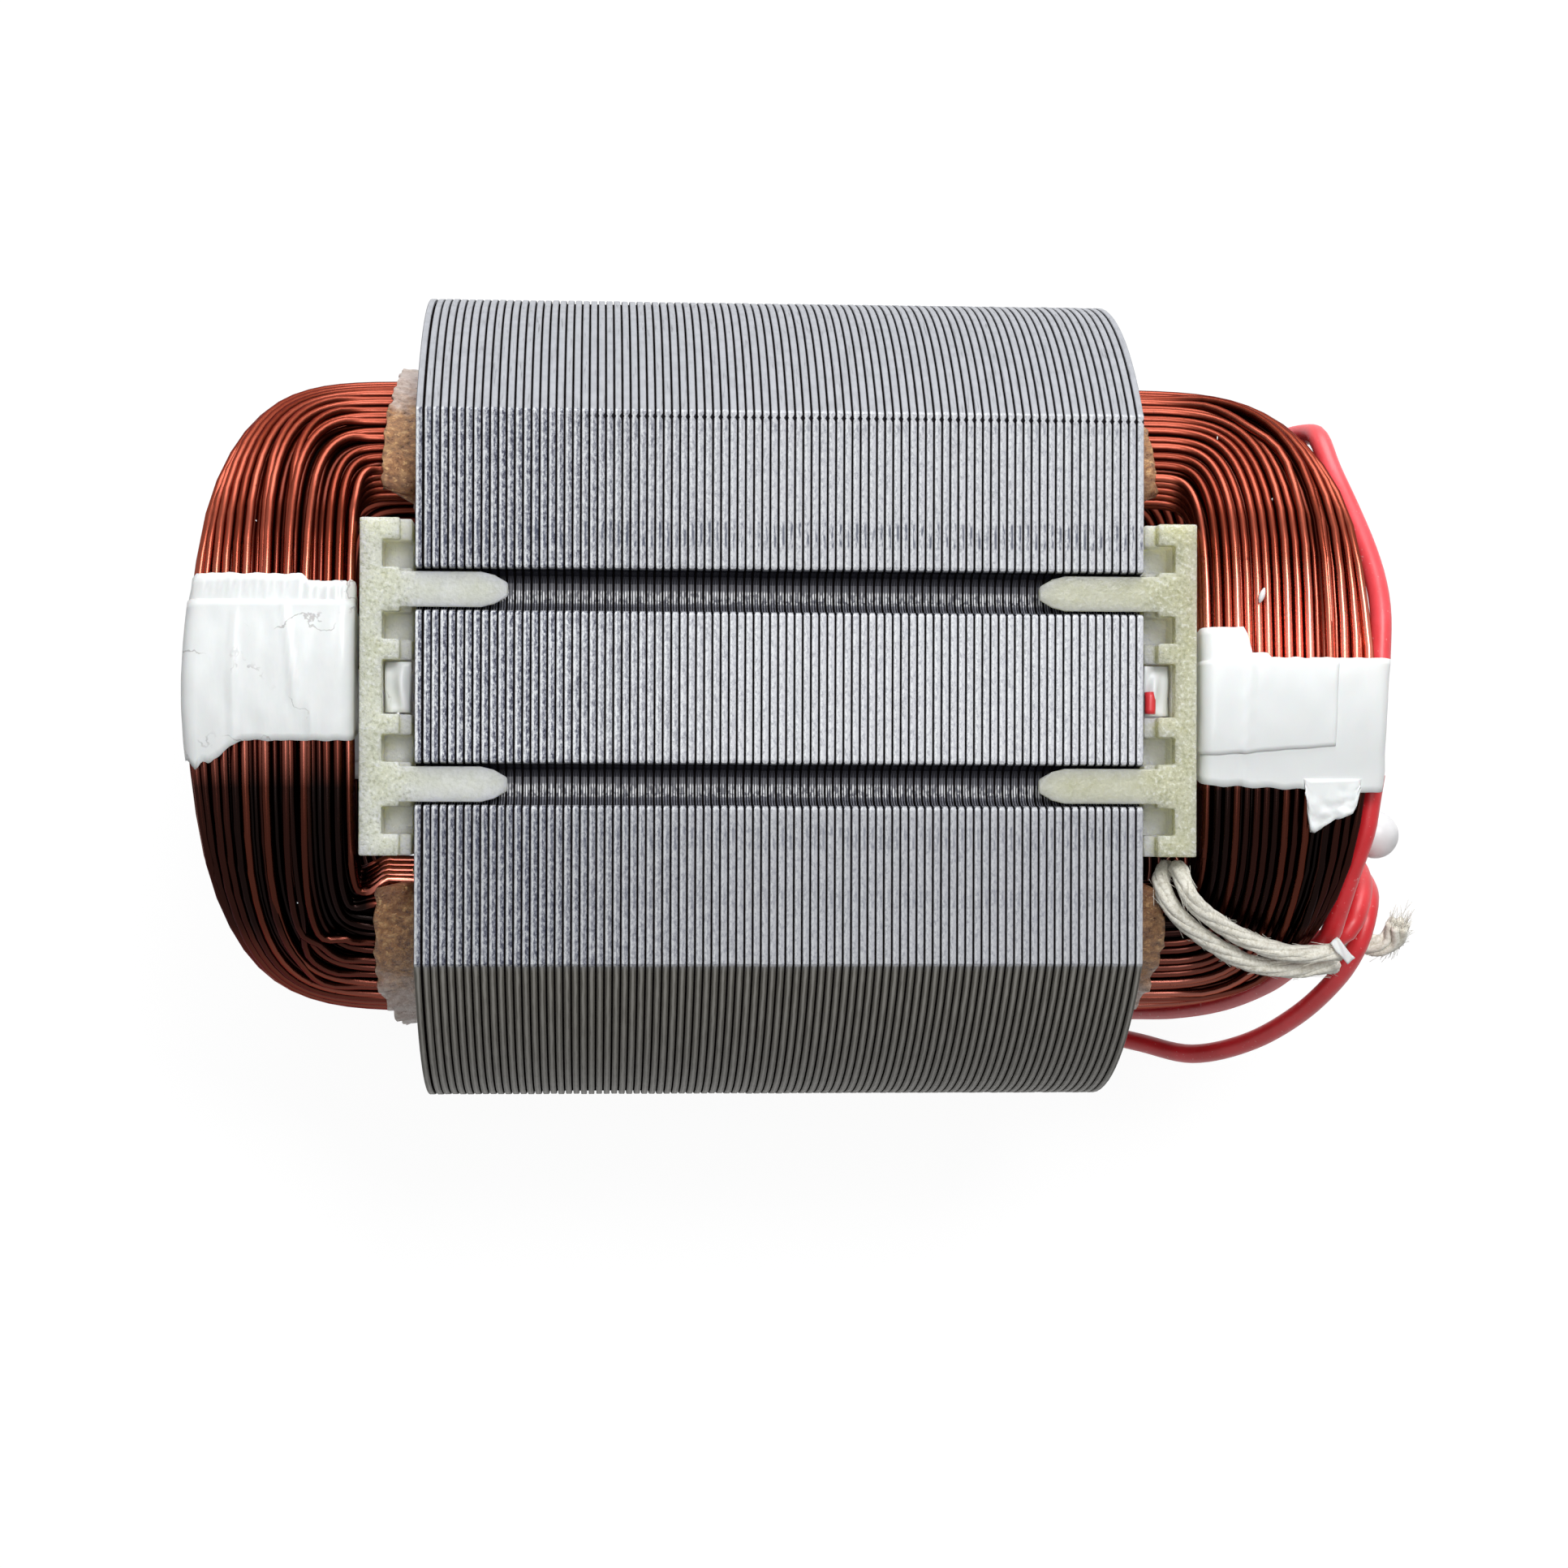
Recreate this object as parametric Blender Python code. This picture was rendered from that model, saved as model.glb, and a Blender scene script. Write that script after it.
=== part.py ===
"""Wound stator of a two-pole universal motor: a laminated core, two coils and what insulates and ties them.

Metres, +Z up. The motor axis runs along X, the two poles face each other along Z, and the part lies on
its lower flat. The origin is the middle of that flat.
"""

import math

import bmesh
import bpy
from mathutils import Matrix, Vector

MM = 0.001
MERGE_DISTANCE = 0.00001

# Core
CORE_LENGTH = 0.05785
BORE_RADIUS = 0.0202
HORN_THICKNESS = 0.0021
HORN_TIP_ANGLE = math.radians(68.0)
POLE_HALF_WIDTH = 0.0139
SLOT_DEPTH = 0.0062
YOKE_THICKNESS = 0.006
FLAT_WALL = 0.0045
GROOVE_OFFSET = 0.00767
GROOVE_WIDTH = 0.0036
GROOVE_DEPTH = 0.0023
GROOVE_WALL_DEPTH = 0.0015
GROOVE_FLOOR_SHARE = 0.8
RIDGE_COUNT = 25
RIDGE_GAP = 0.0008
RIDGE_DEPTH = 0.00035
CORE_CUT_MARGIN = 0.003
CORE_ARC_STEP = math.radians(12.5)
BORE_ARC_STEP = math.radians(8.5)

# Fits
SHEET_CLEARANCE = 0.0003
PLATE_CLEARANCE = 0.0003
LEG_CLEARANCE = 0.00035
TAPE_CLEARANCE = 0.0003
NECK_CLEARANCE = 0.0004
ROOF_CLEARANCE = 0.0005
BORE_CLEARANCE = 0.0007
FLAT_CLEARANCE = 0.00035

# Slot liners
LINER_THICKNESS = 0.00035
LINER_CUFF = 0.0033
LINER_CUFF_START = 0.0006
LINER_CUFF_OFFSET = 0.0026
LINER_CUT_MARGIN = 0.002
LINER_EDGE_ANGLE = math.radians(87.0)
LINER_HORN_MARGIN = math.radians(2.0)

# End plates
PLATE_SIDE_STEP = 0.0006
PLATE_REACH = 0.00432
PLATE_WALL = 0.00175
PLATE_FLOOR_THICKNESS = 0.0015
PLATE_OPENING_HALF_WIDTH = 0.00215
PLATE_RIB_WIDTH = 0.0016
PLATE_END_RIB_WIDTH = 0.0017
PLATE_LEG_RIB_WIDTH = 0.0035
RIB_STEP = 0.0009
RIB_STEP_HEIGHT = 0.0014
LEG_LENGTH_LEFT = 0.0073
LEG_LENGTH_RIGHT = 0.0084
LEG_TIP_LENGTH = 0.0021
LEG_SHOULDER_SHARE = 0.82
LEG_TIP_SHARE = 0.4

# Tapes
TAPE_THICKNESS = 0.00035
TAPE_WIDTH_LEFT = 0.0126
TAPE_WIDTH_RIGHT = 0.0106
TAPE_OFFSET_LEFT = 0.0024
TAPE_OFFSET_RIGHT = -0.0023
TAPE_STATIONS = 4
TAPE_CORNER_STEPS = 2

# Coils
COIL_OUTER_ANGLE = math.radians(83.0)
COIL_INNER_POWER = 6.5
COIL_OUTER_POWER_LEFT = 1.95
COIL_OUTER_POWER_RIGHT = 2.0
TURN_SPREAD_LEFT = 0.01263
TURN_SPREAD_RIGHT = 0.01363
TURN_HEIGHT = 0.0049
TURN_FLAT_ANGLE = math.radians(12.0)
TURN_RISE_ANGLE = math.radians(36.0)
BUNDLE_WIDTH = 0.013
BUNDLE_CORNER = 0.0015
BUNDLE_RIDGES = 14
BUNDLE_RIDGE_DEPTH = 0.00045
TURN_STEPS = 14

# Leads, lacing and small parts
LEAD_DIAMETER = 0.00175
LEAD_POINT_SPACING = 0.0044
LEAD_FLOOR_GAP = 0.00005
TINNED_DIAMETER = 0.0009
TINNED_LENGTH = 0.005
TINNED_SEGMENTS = 8
LACING_DIAMETER = 0.00135
LACING_POINT_SPACING = 0.0034
CAP_RADIUS = 0.0021
CAP_SEGMENTS = 10
CAP_RINGS = 7
CAP_LOW = Vector((0.0251, -0.0093, -0.0130))
CAP_HIGH = Vector((0.0262, -0.0118, -0.0012))
TIE_THICKNESS = 0.0005
TIE_WIDTH = 0.0009
TIE_LENGTH = 0.0024
TIE_TURN = math.radians(40.0)
TIE_PLACE = Vector((0.0178, -0.0211, 0.0199))
CORD_BEVEL_RESOLUTION = 2
ROUTE_STEPS = 20

# Worked out from the values above, from the bore outwards and then along the axis
HALF_LENGTH = CORE_LENGTH / 2
LINER_INNER_GAP = SHEET_CLEARANCE + LINER_THICKNESS
HORN_BACK_RADIUS = BORE_RADIUS + HORN_THICKNESS
SLOT_RADIUS = HORN_BACK_RADIUS + SLOT_DEPTH
CORE_RADIUS = SLOT_RADIUS + YOKE_THICKNESS
COIL_SLOT_LOW_RADIUS = HORN_BACK_RADIUS + LINER_INNER_GAP + SHEET_CLEARANCE
COIL_SLOT_HIGH_RADIUS = SLOT_RADIUS - LINER_INNER_GAP - SHEET_CLEARANCE
COIL_INNER_ANGLE = math.asin((POLE_HALF_WIDTH + LINER_INNER_GAP + NECK_CLEARANCE) / COIL_SLOT_LOW_RADIUS)
COIL_ROOF_HEIGHT = COIL_SLOT_HIGH_RADIUS * math.cos(COIL_INNER_ANGLE)
SLOT_ROOF_HEIGHT = COIL_ROOF_HEIGHT + LINER_INNER_GAP + ROOF_CLEARANCE
FLAT_DISTANCE = SLOT_ROOF_HEIGHT + FLAT_WALL
AXIS_PLACE = Vector((0.0, 0.0, FLAT_DISTANCE))
LEAD_END_PLACE = AXIS_PLACE + Vector((HALF_LENGTH, 0.0, 0.0))
LEAD_FLOOR_Z = LEAD_DIAMETER / 2 + LEAD_FLOOR_GAP - FLAT_DISTANCE
LINER_POLE_EDGE = POLE_HALF_WIDTH + LINER_CUFF_OFFSET
PLATE_HALF_WIDTH = POLE_HALF_WIDTH - PLATE_SIDE_STEP
PLATE_LOW_RADIUS = BORE_RADIUS + BORE_CLEARANCE
PLATE_FLOOR = PLATE_LOW_RADIUS + PLATE_FLOOR_THICKNESS
PLATE_TOP = FLAT_DISTANCE - FLAT_CLEARANCE
TURN_LOW_RADIUS = BORE_RADIUS + BORE_CLEARANCE
TURN_HIGH_RADIUS = TURN_LOW_RADIUS + TURN_HEIGHT
COIL_INNER_OVERHANG = PLATE_REACH + PLATE_CLEARANCE + TAPE_THICKNESS + TAPE_CLEARANCE

# By end: -1 is the left one, 1 the right one with the leads
COIL_OUTER_OVERHANG = {
    -1: COIL_INNER_OVERHANG + TURN_SPREAD_LEFT, 1: COIL_INNER_OVERHANG + TURN_SPREAD_RIGHT,
}
COIL_OUTER_POWER = {-1: COIL_OUTER_POWER_LEFT, 1: COIL_OUTER_POWER_RIGHT}
LEG_LENGTH = {-1: LEG_LENGTH_LEFT, 1: LEG_LENGTH_RIGHT}
TAPE_WIDTH = {-1: TAPE_WIDTH_LEFT, 1: TAPE_WIDTH_RIGHT}
TAPE_OFFSET = {-1: TAPE_OFFSET_LEFT, 1: TAPE_OFFSET_RIGHT}
TAPE_LEAD_ROOM = {-1: 0.0, 1: LEAD_DIAMETER + 2 * SHEET_CLEARANCE}

# Routes of the leads, in millimetres from the middle of the bore, from the tape outwards
JUMPER_ROUTE = [
    (48.95, 2.2, 23.1), (49.2, 6.2, 22.5), (49.05, 9.1, 21.6), (48.4, 12.1, 20.6), (47.35, 15.5, 19.2),
    (46.3, 18.9, 17.4), (45.9, 21.6, 15.2), (45.7, 22.4, 12.4), (44.7, 22.5, 8.6), (43.1, 22.0, 3.6),
    (42.6, 21.6, -2.0), (43.3, 21.3, -8.2), (45.4, 19.4, -14.6), (47.6, 14.2, -20.0), (48.6, 9.2, -22.0),
    (48.75, 6.6, -22.5),
]
UPPER_LEAD_ROUTE = [
    (48.7, -6.6, 22.5), (48.5, -8.8, 21.9), (48.2, -11.4, 21.3), (47.4, -14.8, 19.8), (46.8, -17.9, 18.2),
    (46.4, -20.3, 16.2), (45.3, -22.2, 11.6), (43.9, -24.6, 5.5), (41.4, -26.7, -1.5), (38.5, -27.9, -8.5),
    (35.6, -28.4, -14.5), (32.4, -28.8, -20.0), (28.6, -28.9, -24.0), (24.0, -28.8, LEAD_FLOOR_Z / MM),
    (16.0, -28.6, LEAD_FLOOR_Z / MM), (4.0, -28.9, LEAD_FLOOR_Z / MM), (-10.0, -28.6, LEAD_FLOOR_Z / MM),
    (-24.0, -28.8, LEAD_FLOOR_Z / MM),
]
LOWER_LEAD_ROUTE = [
    (49.05, -2.2, -22.3), (49.4, -4.8, -21.0), (50.4, -8.4, -13.5), (51.2, -11.3, -5.0), (51.4, -13.4, 3.0),
    (51.2, -15.4, 9.0), (50.1, -17.8, 12.4), (48.7, -19.9, 13.4), (47.3, -20.6, 11.2), (45.8, -21.2, 7.0),
    (44.8, -22.2, 1.0), (43.6, -24.2, -5.5), (41.2, -26.2, -12.0), (37.5, -26.9, -17.5),
    (34.0, -26.3, -21.5), (30.2, -26.1, -24.7), (25.5, -26.0, LEAD_FLOOR_Z / MM),
    (16.0, -26.2, LEAD_FLOOR_Z / MM), (4.0, -26.0, LEAD_FLOOR_Z / MM), (-8.0, -26.2, LEAD_FLOOR_Z / MM),
    (-20.0, -26.0, LEAD_FLOOR_Z / MM),
]
LOOP_LEAD_ROUTE = [
    (49.05, -2.2, -24.4), (49.5, -5.4, -23.4), (51.6, -10.4, -17.5), (53.2, -13.5, -9.0), (53.6, -15.4, -1.0),
    (53.0, -16.8, 4.6), (52.2, -18.5, 7.2), (51.4, -21.2, 7.2), (50.4, -24.2, 4.2), (48.2, -27.8, -1.0),
    (45.0, -30.8, -7.0), (41.0, -32.4, -13.0), (37.1, -31.8, -19.0), (33.4, -31.2, -23.2),
    (29.2, -31.3, -25.4), (24.0, -31.5, LEAD_FLOOR_Z / MM), (14.0, -31.8, LEAD_FLOOR_Z / MM),
    (2.0, -31.4, LEAD_FLOOR_Z / MM), (-10.0, -31.6, LEAD_FLOOR_Z / MM), (-22.0, -31.4, LEAD_FLOOR_Z / MM),
]

# Routes of the lacing, in millimetres from the middle of the core's right end
LACING_ROUTES = {
    "lacing_strand_1": [
        (3.55, -14.3, 22.4), (3.5, -14.7, 24.0), (3.8, -15.9, 24.8), (4.65, -17.1, 24.2), (6.15, -18.2, 23.0),
        (8.4, -19.55, 21.4), (10.55, -20.5, 20.4), (12.65, -21.15, 19.7), (15.0, -21.4, 19.3),
        (18.0, -21.2, 18.8),
    ],
    "lacing_strand_2": [
        (3.2, -14.35, 19.4), (2.8, -14.5, 20.9), (2.2, -15.2, 22.5), (2.35, -16.4, 23.5), (3.4, -18.0, 23.2),
        (5.3, -19.5, 21.8), (7.6, -20.9, 20.1), (9.9, -22.0, 18.7), (12.4, -22.6, 17.8), (14.8, -22.75, 17.2),
        (17.3, -22.45, 16.9), (18.2, -22.6, 14.9),
    ],
    "lacing_tail": [
        (18.4, -22.65, 14.2), (19.0, -22.65, 11.0), (19.7, -22.5, 7.4), (20.3, -22.3, 4.2), (21.2, -22.0, 2.0),
        (22.6, -21.6, 1.5), (24.2, -21.4, 2.2), (25.5, -21.5, 2.9), (26.6, -20.8, 3.4), (26.8, -19.5, 4.4),
    ],
}


def mix(low, high, share):
    return low + (high - low) * share


def polar(radius, angle):
    """A point of the cross-section, from its distance to the motor axis and its angle from +Z to +Y."""
    return (radius * math.sin(angle), radius * math.cos(angle))


def arc(radius, start, end, step):
    """Points of an arc about the motor axis, both ends included."""
    count = max(1, round(abs(end - start) / step))
    return [polar(radius, mix(start, end, i / count)) for i in range(count + 1)]


def new_collection(name):
    collection = bpy.data.collections.new(name)
    bpy.context.scene.collection.children.link(collection)
    return collection


def new_material(name, colour, roughness, metallic=0.0):
    material = bpy.data.materials.new(name)
    material.use_nodes = True
    shader = material.node_tree.nodes["Principled BSDF"]
    shader.inputs["Base Color"].default_value = (*colour, 1.0)
    shader.inputs["Roughness"].default_value = roughness
    shader.inputs["Metallic"].default_value = metallic
    return material


def add_object(name, data, collection, material=None):
    item = bpy.data.objects.new(name, data)
    collection.objects.link(item)
    if material and not data.materials:
        data.materials.append(material)
    return item


def mesh_from(bm, name):
    bmesh.ops.recalc_face_normals(bm, faces=bm.faces)
    mesh = bpy.data.meshes.new(name)
    bm.to_mesh(mesh)
    bm.free()
    return mesh


def make_cutter(item):
    """Hide an object that only shapes others."""
    item.hide_render = True
    item.display_type = "WIRE"
    return item


def applied_mesh(item, name):
    """The object's mesh as its modifiers leave it, in its own coordinates."""
    graph = bpy.context.evaluated_depsgraph_get()
    mesh = bpy.data.meshes.new_from_object(item.evaluated_get(graph))
    mesh.name = name
    return mesh


def prism(name, outline, x_low, x_high, collection):
    """A flat outline in the cross-section plane, extruded along the motor axis, as a mesh object."""
    curve = bpy.data.curves.new(name, "CURVE")
    curve.dimensions = "2D"
    curve.fill_mode = "BOTH"
    curve.extrude = (x_high - x_low) / 2
    spline = curve.splines.new("POLY")
    spline.points.add(len(outline) - 1)
    for point, (across, up) in zip(spline.points, outline):
        point.co = (across, up, 0.0, 1.0)
    spline.use_cyclic_u = True
    guide = bpy.data.objects.new(name, curve)
    bpy.context.scene.collection.objects.link(guide)
    bm = bmesh.new()
    bm.from_mesh(applied_mesh(guide, name))
    bmesh.ops.remove_doubles(bm, verts=bm.verts, dist=MERGE_DISTANCE)
    lay_along_axis = Matrix(((0, 0, 1, (x_low + x_high) / 2), (1, 0, 0, 0), (0, 1, 0, 0), (0, 0, 0, 1)))
    bmesh.ops.transform(bm, matrix=lay_along_axis, verts=bm.verts)
    bpy.data.objects.remove(guide)
    bpy.data.curves.remove(curve)
    return add_object(name, mesh_from(bm, name), collection)


def box(name, low, high, collection):
    bm = bmesh.new()
    size = [b - a for a, b in zip(low, high)]
    centre = [(a + b) / 2 for a, b in zip(low, high)]
    bmesh.ops.create_cube(bm, size=1.0, matrix=Matrix.Translation(centre) @ Matrix.Diagonal((*size, 1.0)))
    return add_object(name, mesh_from(bm, name), collection)


def boolean(item, cutter, operation="DIFFERENCE"):
    modifier = item.modifiers.new(cutter.name, "BOOLEAN")
    modifier.operation = operation
    modifier.object = cutter
    return modifier


def extrude_step(bm, cap, distance, scale, centre):
    """Extrude the cap along the motor axis, scale it in the cross-section and return the new cap."""
    has_walls = len(cap.edges[0].link_faces) > 1
    result = bmesh.ops.extrude_face_region(bm, geom=[cap])
    new_cap = next(part for part in result["geom"] if isinstance(part, bmesh.types.BMFace))
    if has_walls:
        bmesh.ops.delete(bm, geom=[cap], context="FACES_ONLY")
    for vert in new_cap.verts:
        vert.co.x += distance
        vert.co.y = centre[0] + (vert.co.y - centre[0]) * scale
        vert.co.z = centre[1] + (vert.co.z - centre[1]) * scale
    return new_cap


def first_cap(bm, outline, x):
    return bm.faces.new([bm.verts.new((x, across, up)) for across, up in outline])


def loft(name, loops, ring=False):
    """One closed skin through loops of equally many points, closed on itself or capped at both ends."""
    bm = bmesh.new()
    rows = [[bm.verts.new(point) for point in loop] for loop in loops]
    pairs = list(zip(rows, rows[1:]))
    if ring:
        pairs.append((rows[-1], rows[0]))
    for row, following in pairs:
        for i in range(len(row)):
            j = (i + 1) % len(row)
            bm.faces.new((row[i], row[j], following[j], following[i]))
    if not ring:
        bm.faces.new(rows[0])
        bm.faces.new(rows[-1])
    return mesh_from(bm, name)


def groove_outline(centre, half_width, depth, wall_depth, top):
    """A U-shaped groove's points from its -Y edge to its +Y edge, below a flat at the given height."""
    floor_half = half_width * GROOVE_FLOOR_SHARE
    return [
        (centre - half_width, top), (centre - floor_half, top - wall_depth), (centre, top - depth),
        (centre + floor_half, top - wall_depth), (centre + half_width, top),
    ]


def core_outline():
    """The lamination's outer edge: two arcs, and two flats with a pair of grooves in each."""
    flat_angle = math.acos(FLAT_DISTANCE / CORE_RADIUS)
    flat = []
    for centre in (-GROOVE_OFFSET, GROOVE_OFFSET):
        flat += groove_outline(centre, GROOVE_WIDTH / 2, GROOVE_DEPTH, GROOVE_WALL_DEPTH, FLAT_DISTANCE)
    half = flat + arc(CORE_RADIUS, flat_angle, math.pi - flat_angle, CORE_ARC_STEP)
    return half + [(-across, -up) for across, up in half]


def opening_outline():
    """The bore and the two slots that a lamination leaves open, as one outline."""
    neck_angle = math.asin(POLE_HALF_WIDTH / HORN_BACK_RADIUS)
    roof_angle = math.acos(SLOT_ROOF_HEIGHT / SLOT_RADIUS)
    quarter = arc(BORE_RADIUS, 0.0, HORN_TIP_ANGLE, BORE_ARC_STEP)
    quarter += arc(HORN_BACK_RADIUS, HORN_TIP_ANGLE, neck_angle, BORE_ARC_STEP)
    quarter += [(POLE_HALF_WIDTH, SLOT_ROOF_HEIGHT)]
    quarter += arc(SLOT_RADIUS, roof_angle, math.pi / 2, BORE_ARC_STEP)
    half = quarter + [(across, -up) for across, up in reversed(quarter[:-1])]
    return half + [(-across, up) for across, up in reversed(half[1:-1])]


def build_core(parts, cutters, material):
    """The lamination stack, with a shallow groove after each group of sheets."""
    bm = bmesh.new()
    cap = first_cap(bm, core_outline(), -HALF_LENGTH)
    pitch = (CORE_LENGTH + RIDGE_GAP) / RIDGE_COUNT
    valley_scale = 1.0 - RIDGE_DEPTH / CORE_RADIUS
    for ridge in range(RIDGE_COUNT):
        cap = extrude_step(bm, cap, pitch - RIDGE_GAP, 1.0, (0.0, 0.0))
        if ridge < RIDGE_COUNT - 1:
            cap = extrude_step(bm, cap, RIDGE_GAP / 2, valley_scale, (0.0, 0.0))
            cap = extrude_step(bm, cap, RIDGE_GAP / 2, 1.0 / valley_scale, (0.0, 0.0))
    core = add_object("lamination_stack", mesh_from(bm, "lamination_stack"), parts, material)
    core.location = AXIS_PLACE
    reach = HALF_LENGTH + CORE_CUT_MARGIN
    opening = prism("bore_and_slots", opening_outline(), -reach, reach, cutters)
    opening.location = AXIS_PLACE
    make_cutter(opening)
    boolean(core, opening)


def slot_wall(inset):
    """A line at a distance inside one slot quarter, from the horn's tip to the slot's middle."""
    low_radius = HORN_BACK_RADIUS + inset
    high_radius = SLOT_RADIUS - inset
    neck = POLE_HALF_WIDTH + inset
    roof = SLOT_ROOF_HEIGHT - inset
    line = arc(low_radius, HORN_TIP_ANGLE - LINER_HORN_MARGIN, math.asin(neck / low_radius), BORE_ARC_STEP)
    line += [(neck, roof)]
    line += arc(high_radius, math.acos(roof / high_radius), LINER_EDGE_ANGLE, BORE_ARC_STEP)
    return line


def build_liners(parts, cutters, material):
    """Four folded paper liners. Their cuffs stand past the core, and are cut away beside the pole."""
    outline = slot_wall(SHEET_CLEARANCE) + slot_wall(LINER_INNER_GAP)[::-1]
    reach = HALF_LENGTH + LINER_CUFF
    blank = make_cutter(prism("liner_blank", outline, -reach, reach, cutters))
    for end in (-1, 1):
        near = end * (HALF_LENGTH + LINER_CUFF_START)
        far = end * (reach + LINER_CUT_MARGIN)
        low = (min(near, far), 0.0, 0.0)
        high = (max(near, far), LINER_POLE_EDGE, SLOT_RADIUS)
        boolean(blank, make_cutter(box(f"cuff_cut_{end}", low, high, cutters)))
    mesh = applied_mesh(blank, "slot_liner")
    turns = {
        "slot_liner_upper_back": (0, 0, 0), "slot_liner_upper_front": (0, 0, math.pi),
        "slot_liner_lower_back": (0, math.pi, 0), "slot_liner_lower_front": (math.pi, 0, 0),
    }
    for name, turn in turns.items():
        liner = add_object(name, mesh, parts, material)
        liner.location = AXIS_PLACE
        liner.rotation_euler = turn


def turn_share(angle):
    """How far the winding has left its slot radii: 0 in the slot, 1 in the end turn's middle."""
    share = (TURN_RISE_ANGLE - abs(angle)) / (TURN_RISE_ANGLE - TURN_FLAT_ANGLE)
    share = min(1.0, max(0.0, share))
    return share * share * (3.0 - 2.0 * share)


def winding_radius(angle, depth):
    slot = mix(COIL_SLOT_LOW_RADIUS, COIL_SLOT_HIGH_RADIUS, depth)
    turn = mix(TURN_LOW_RADIUS, TURN_HIGH_RADIUS, depth)
    return mix(slot, turn, turn_share(angle))


def coil_point(end, theta, across, depth):
    """A point of the upper coil: theta runs round its end turn, across from its inner to its outer wire."""
    overhang = mix(COIL_INNER_OVERHANG, COIL_OUTER_OVERHANG[end], across)
    half_angle = mix(COIL_INNER_ANGLE, COIL_OUTER_ANGLE, across)
    power = 2.0 / mix(COIL_INNER_POWER, COIL_OUTER_POWER[end], across)
    x = end * (HALF_LENGTH + overhang * abs(math.cos(theta)) ** power)
    angle = math.copysign(half_angle * abs(math.sin(theta)) ** power, math.sin(theta))
    return (x, *polar(winding_radius(angle, depth), angle))


def rounded_rectangle(width, height, radius, count, ridge_depth=0.0):
    """Evenly spaced points round a rounded rectangle, every second one pulled in by the ridge depth."""
    straights = (width - 2 * radius, height - 2 * radius)
    quarter = math.pi * radius / 2
    total = 2 * sum(straights) + 4 * quarter
    corners = [(1, 1), (-1, 1), (-1, -1), (1, -1)]
    points = []
    for i in range(count):
        left = total * (i + 0.5) / count
        reach = radius - (ridge_depth if i % 2 else 0.0)
        for turn, (side_x, side_y) in enumerate(corners):
            centre = (side_x * straights[0] / 2, side_y * straights[1] / 2)
            start = math.pi / 2 * turn
            straight = straights[0] if turn % 2 == 0 else straights[1]
            if left <= quarter:
                angle = start + left / radius
                points.append((centre[0] + reach * math.cos(angle), centre[1] + reach * math.sin(angle)))
                break
            left -= quarter
            if left <= straight:
                end_angle = start + math.pi / 2
                normal = (math.cos(end_angle), math.sin(end_angle))
                along = (-normal[1], normal[0])
                points.append((
                    centre[0] + reach * normal[0] + left * along[0],
                    centre[1] + reach * normal[1] + left * along[1],
                ))
                break
            left -= straight
    return points


def build_coils(parts, material):
    """Two like coils. The lower one is the upper one turned half round the motor axis."""
    height = TURN_HIGH_RADIUS - TURN_LOW_RADIUS
    section = rounded_rectangle(BUNDLE_WIDTH, height, BUNDLE_CORNER, 2 * BUNDLE_RIDGES, BUNDLE_RIDGE_DEPTH)
    shares = [(x / BUNDLE_WIDTH + 0.5, y / height + 0.5) for x, y in section]
    loops = []
    for end in (1, -1):
        for step in range(TURN_STEPS + 1):
            theta = end * mix(-math.pi / 2, math.pi / 2, step / TURN_STEPS)
            loops.append([coil_point(end, theta, across, depth) for across, depth in shares])
    mesh = loft("coil", loops, ring=True)
    for name, turn in (("upper_coil", 0.0), ("lower_coil", math.pi)):
        coil = add_object(name, mesh, parts, material)
        coil.location = AXIS_PLACE
        coil.rotation_euler.x = turn


def reach_at(end, angle, across):
    """How far along the axis the winding's inner or outer wire stands at an angle of the end turn."""
    overhang = mix(COIL_INNER_OVERHANG, COIL_OUTER_OVERHANG[end], across)
    half_angle = mix(COIL_INNER_ANGLE, COIL_OUTER_ANGLE, across)
    power = mix(COIL_INNER_POWER, COIL_OUTER_POWER[end], across)
    return HALF_LENGTH + overhang * (1.0 - (abs(angle) / half_angle) ** power) ** (1.0 / power)


def tape_loop(end, angle, growth):
    """The loop that a tape makes round the end turn at an angle, at a distance outside the wires."""
    inner = reach_at(end, angle, 0.0) - growth
    outer = reach_at(end, angle, 1.0) + growth + TAPE_LEAD_ROOM[end]
    low = winding_radius(angle, 0.0) - growth
    high = winding_radius(angle, 1.0) + growth
    radius = BUNDLE_CORNER + growth
    loop = []
    for turn, (x, y) in enumerate(((outer, high), (inner, high), (inner, low), (outer, low))):
        centre_x = min(max(x, inner + radius), outer - radius)
        centre_y = min(max(y, low + radius), high - radius)
        for step in range(TAPE_CORNER_STEPS + 1):
            corner = math.pi / 2 * (turn + step / TAPE_CORNER_STEPS)
            point = (centre_x + radius * math.cos(corner), centre_y + radius * math.sin(corner))
            loop.append((end * point[0], *polar(point[1], angle)))
    return loop


def build_tapes(parts, material):
    """A sleeve of tape round the middle of each end turn, with room for the leads at the lead end."""
    middle_radius = (TURN_LOW_RADIUS + TURN_HIGH_RADIUS) / 2
    for end, side in ((-1, "left"), (1, "right")):
        first = (TAPE_OFFSET[end] - TAPE_WIDTH[end] / 2) / middle_radius
        last = (TAPE_OFFSET[end] + TAPE_WIDTH[end] / 2) / middle_radius
        angles = [mix(first, last, i / TAPE_STATIONS) for i in range(TAPE_STATIONS + 1)]
        loops = [tape_loop(end, angle, TAPE_CLEARANCE + TAPE_THICKNESS) for angle in angles]
        loops += [tape_loop(end, angle, TAPE_CLEARANCE) for angle in reversed(angles)]
        mesh = loft("coil_tape", loops, ring=True)
        for level, turn in (("upper", 0.0), ("lower", math.pi)):
            tape = add_object(f"coil_tape_{level}_{side}", mesh, parts, material)
            tape.location = AXIS_PLACE
            tape.rotation_euler.x = turn


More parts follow.
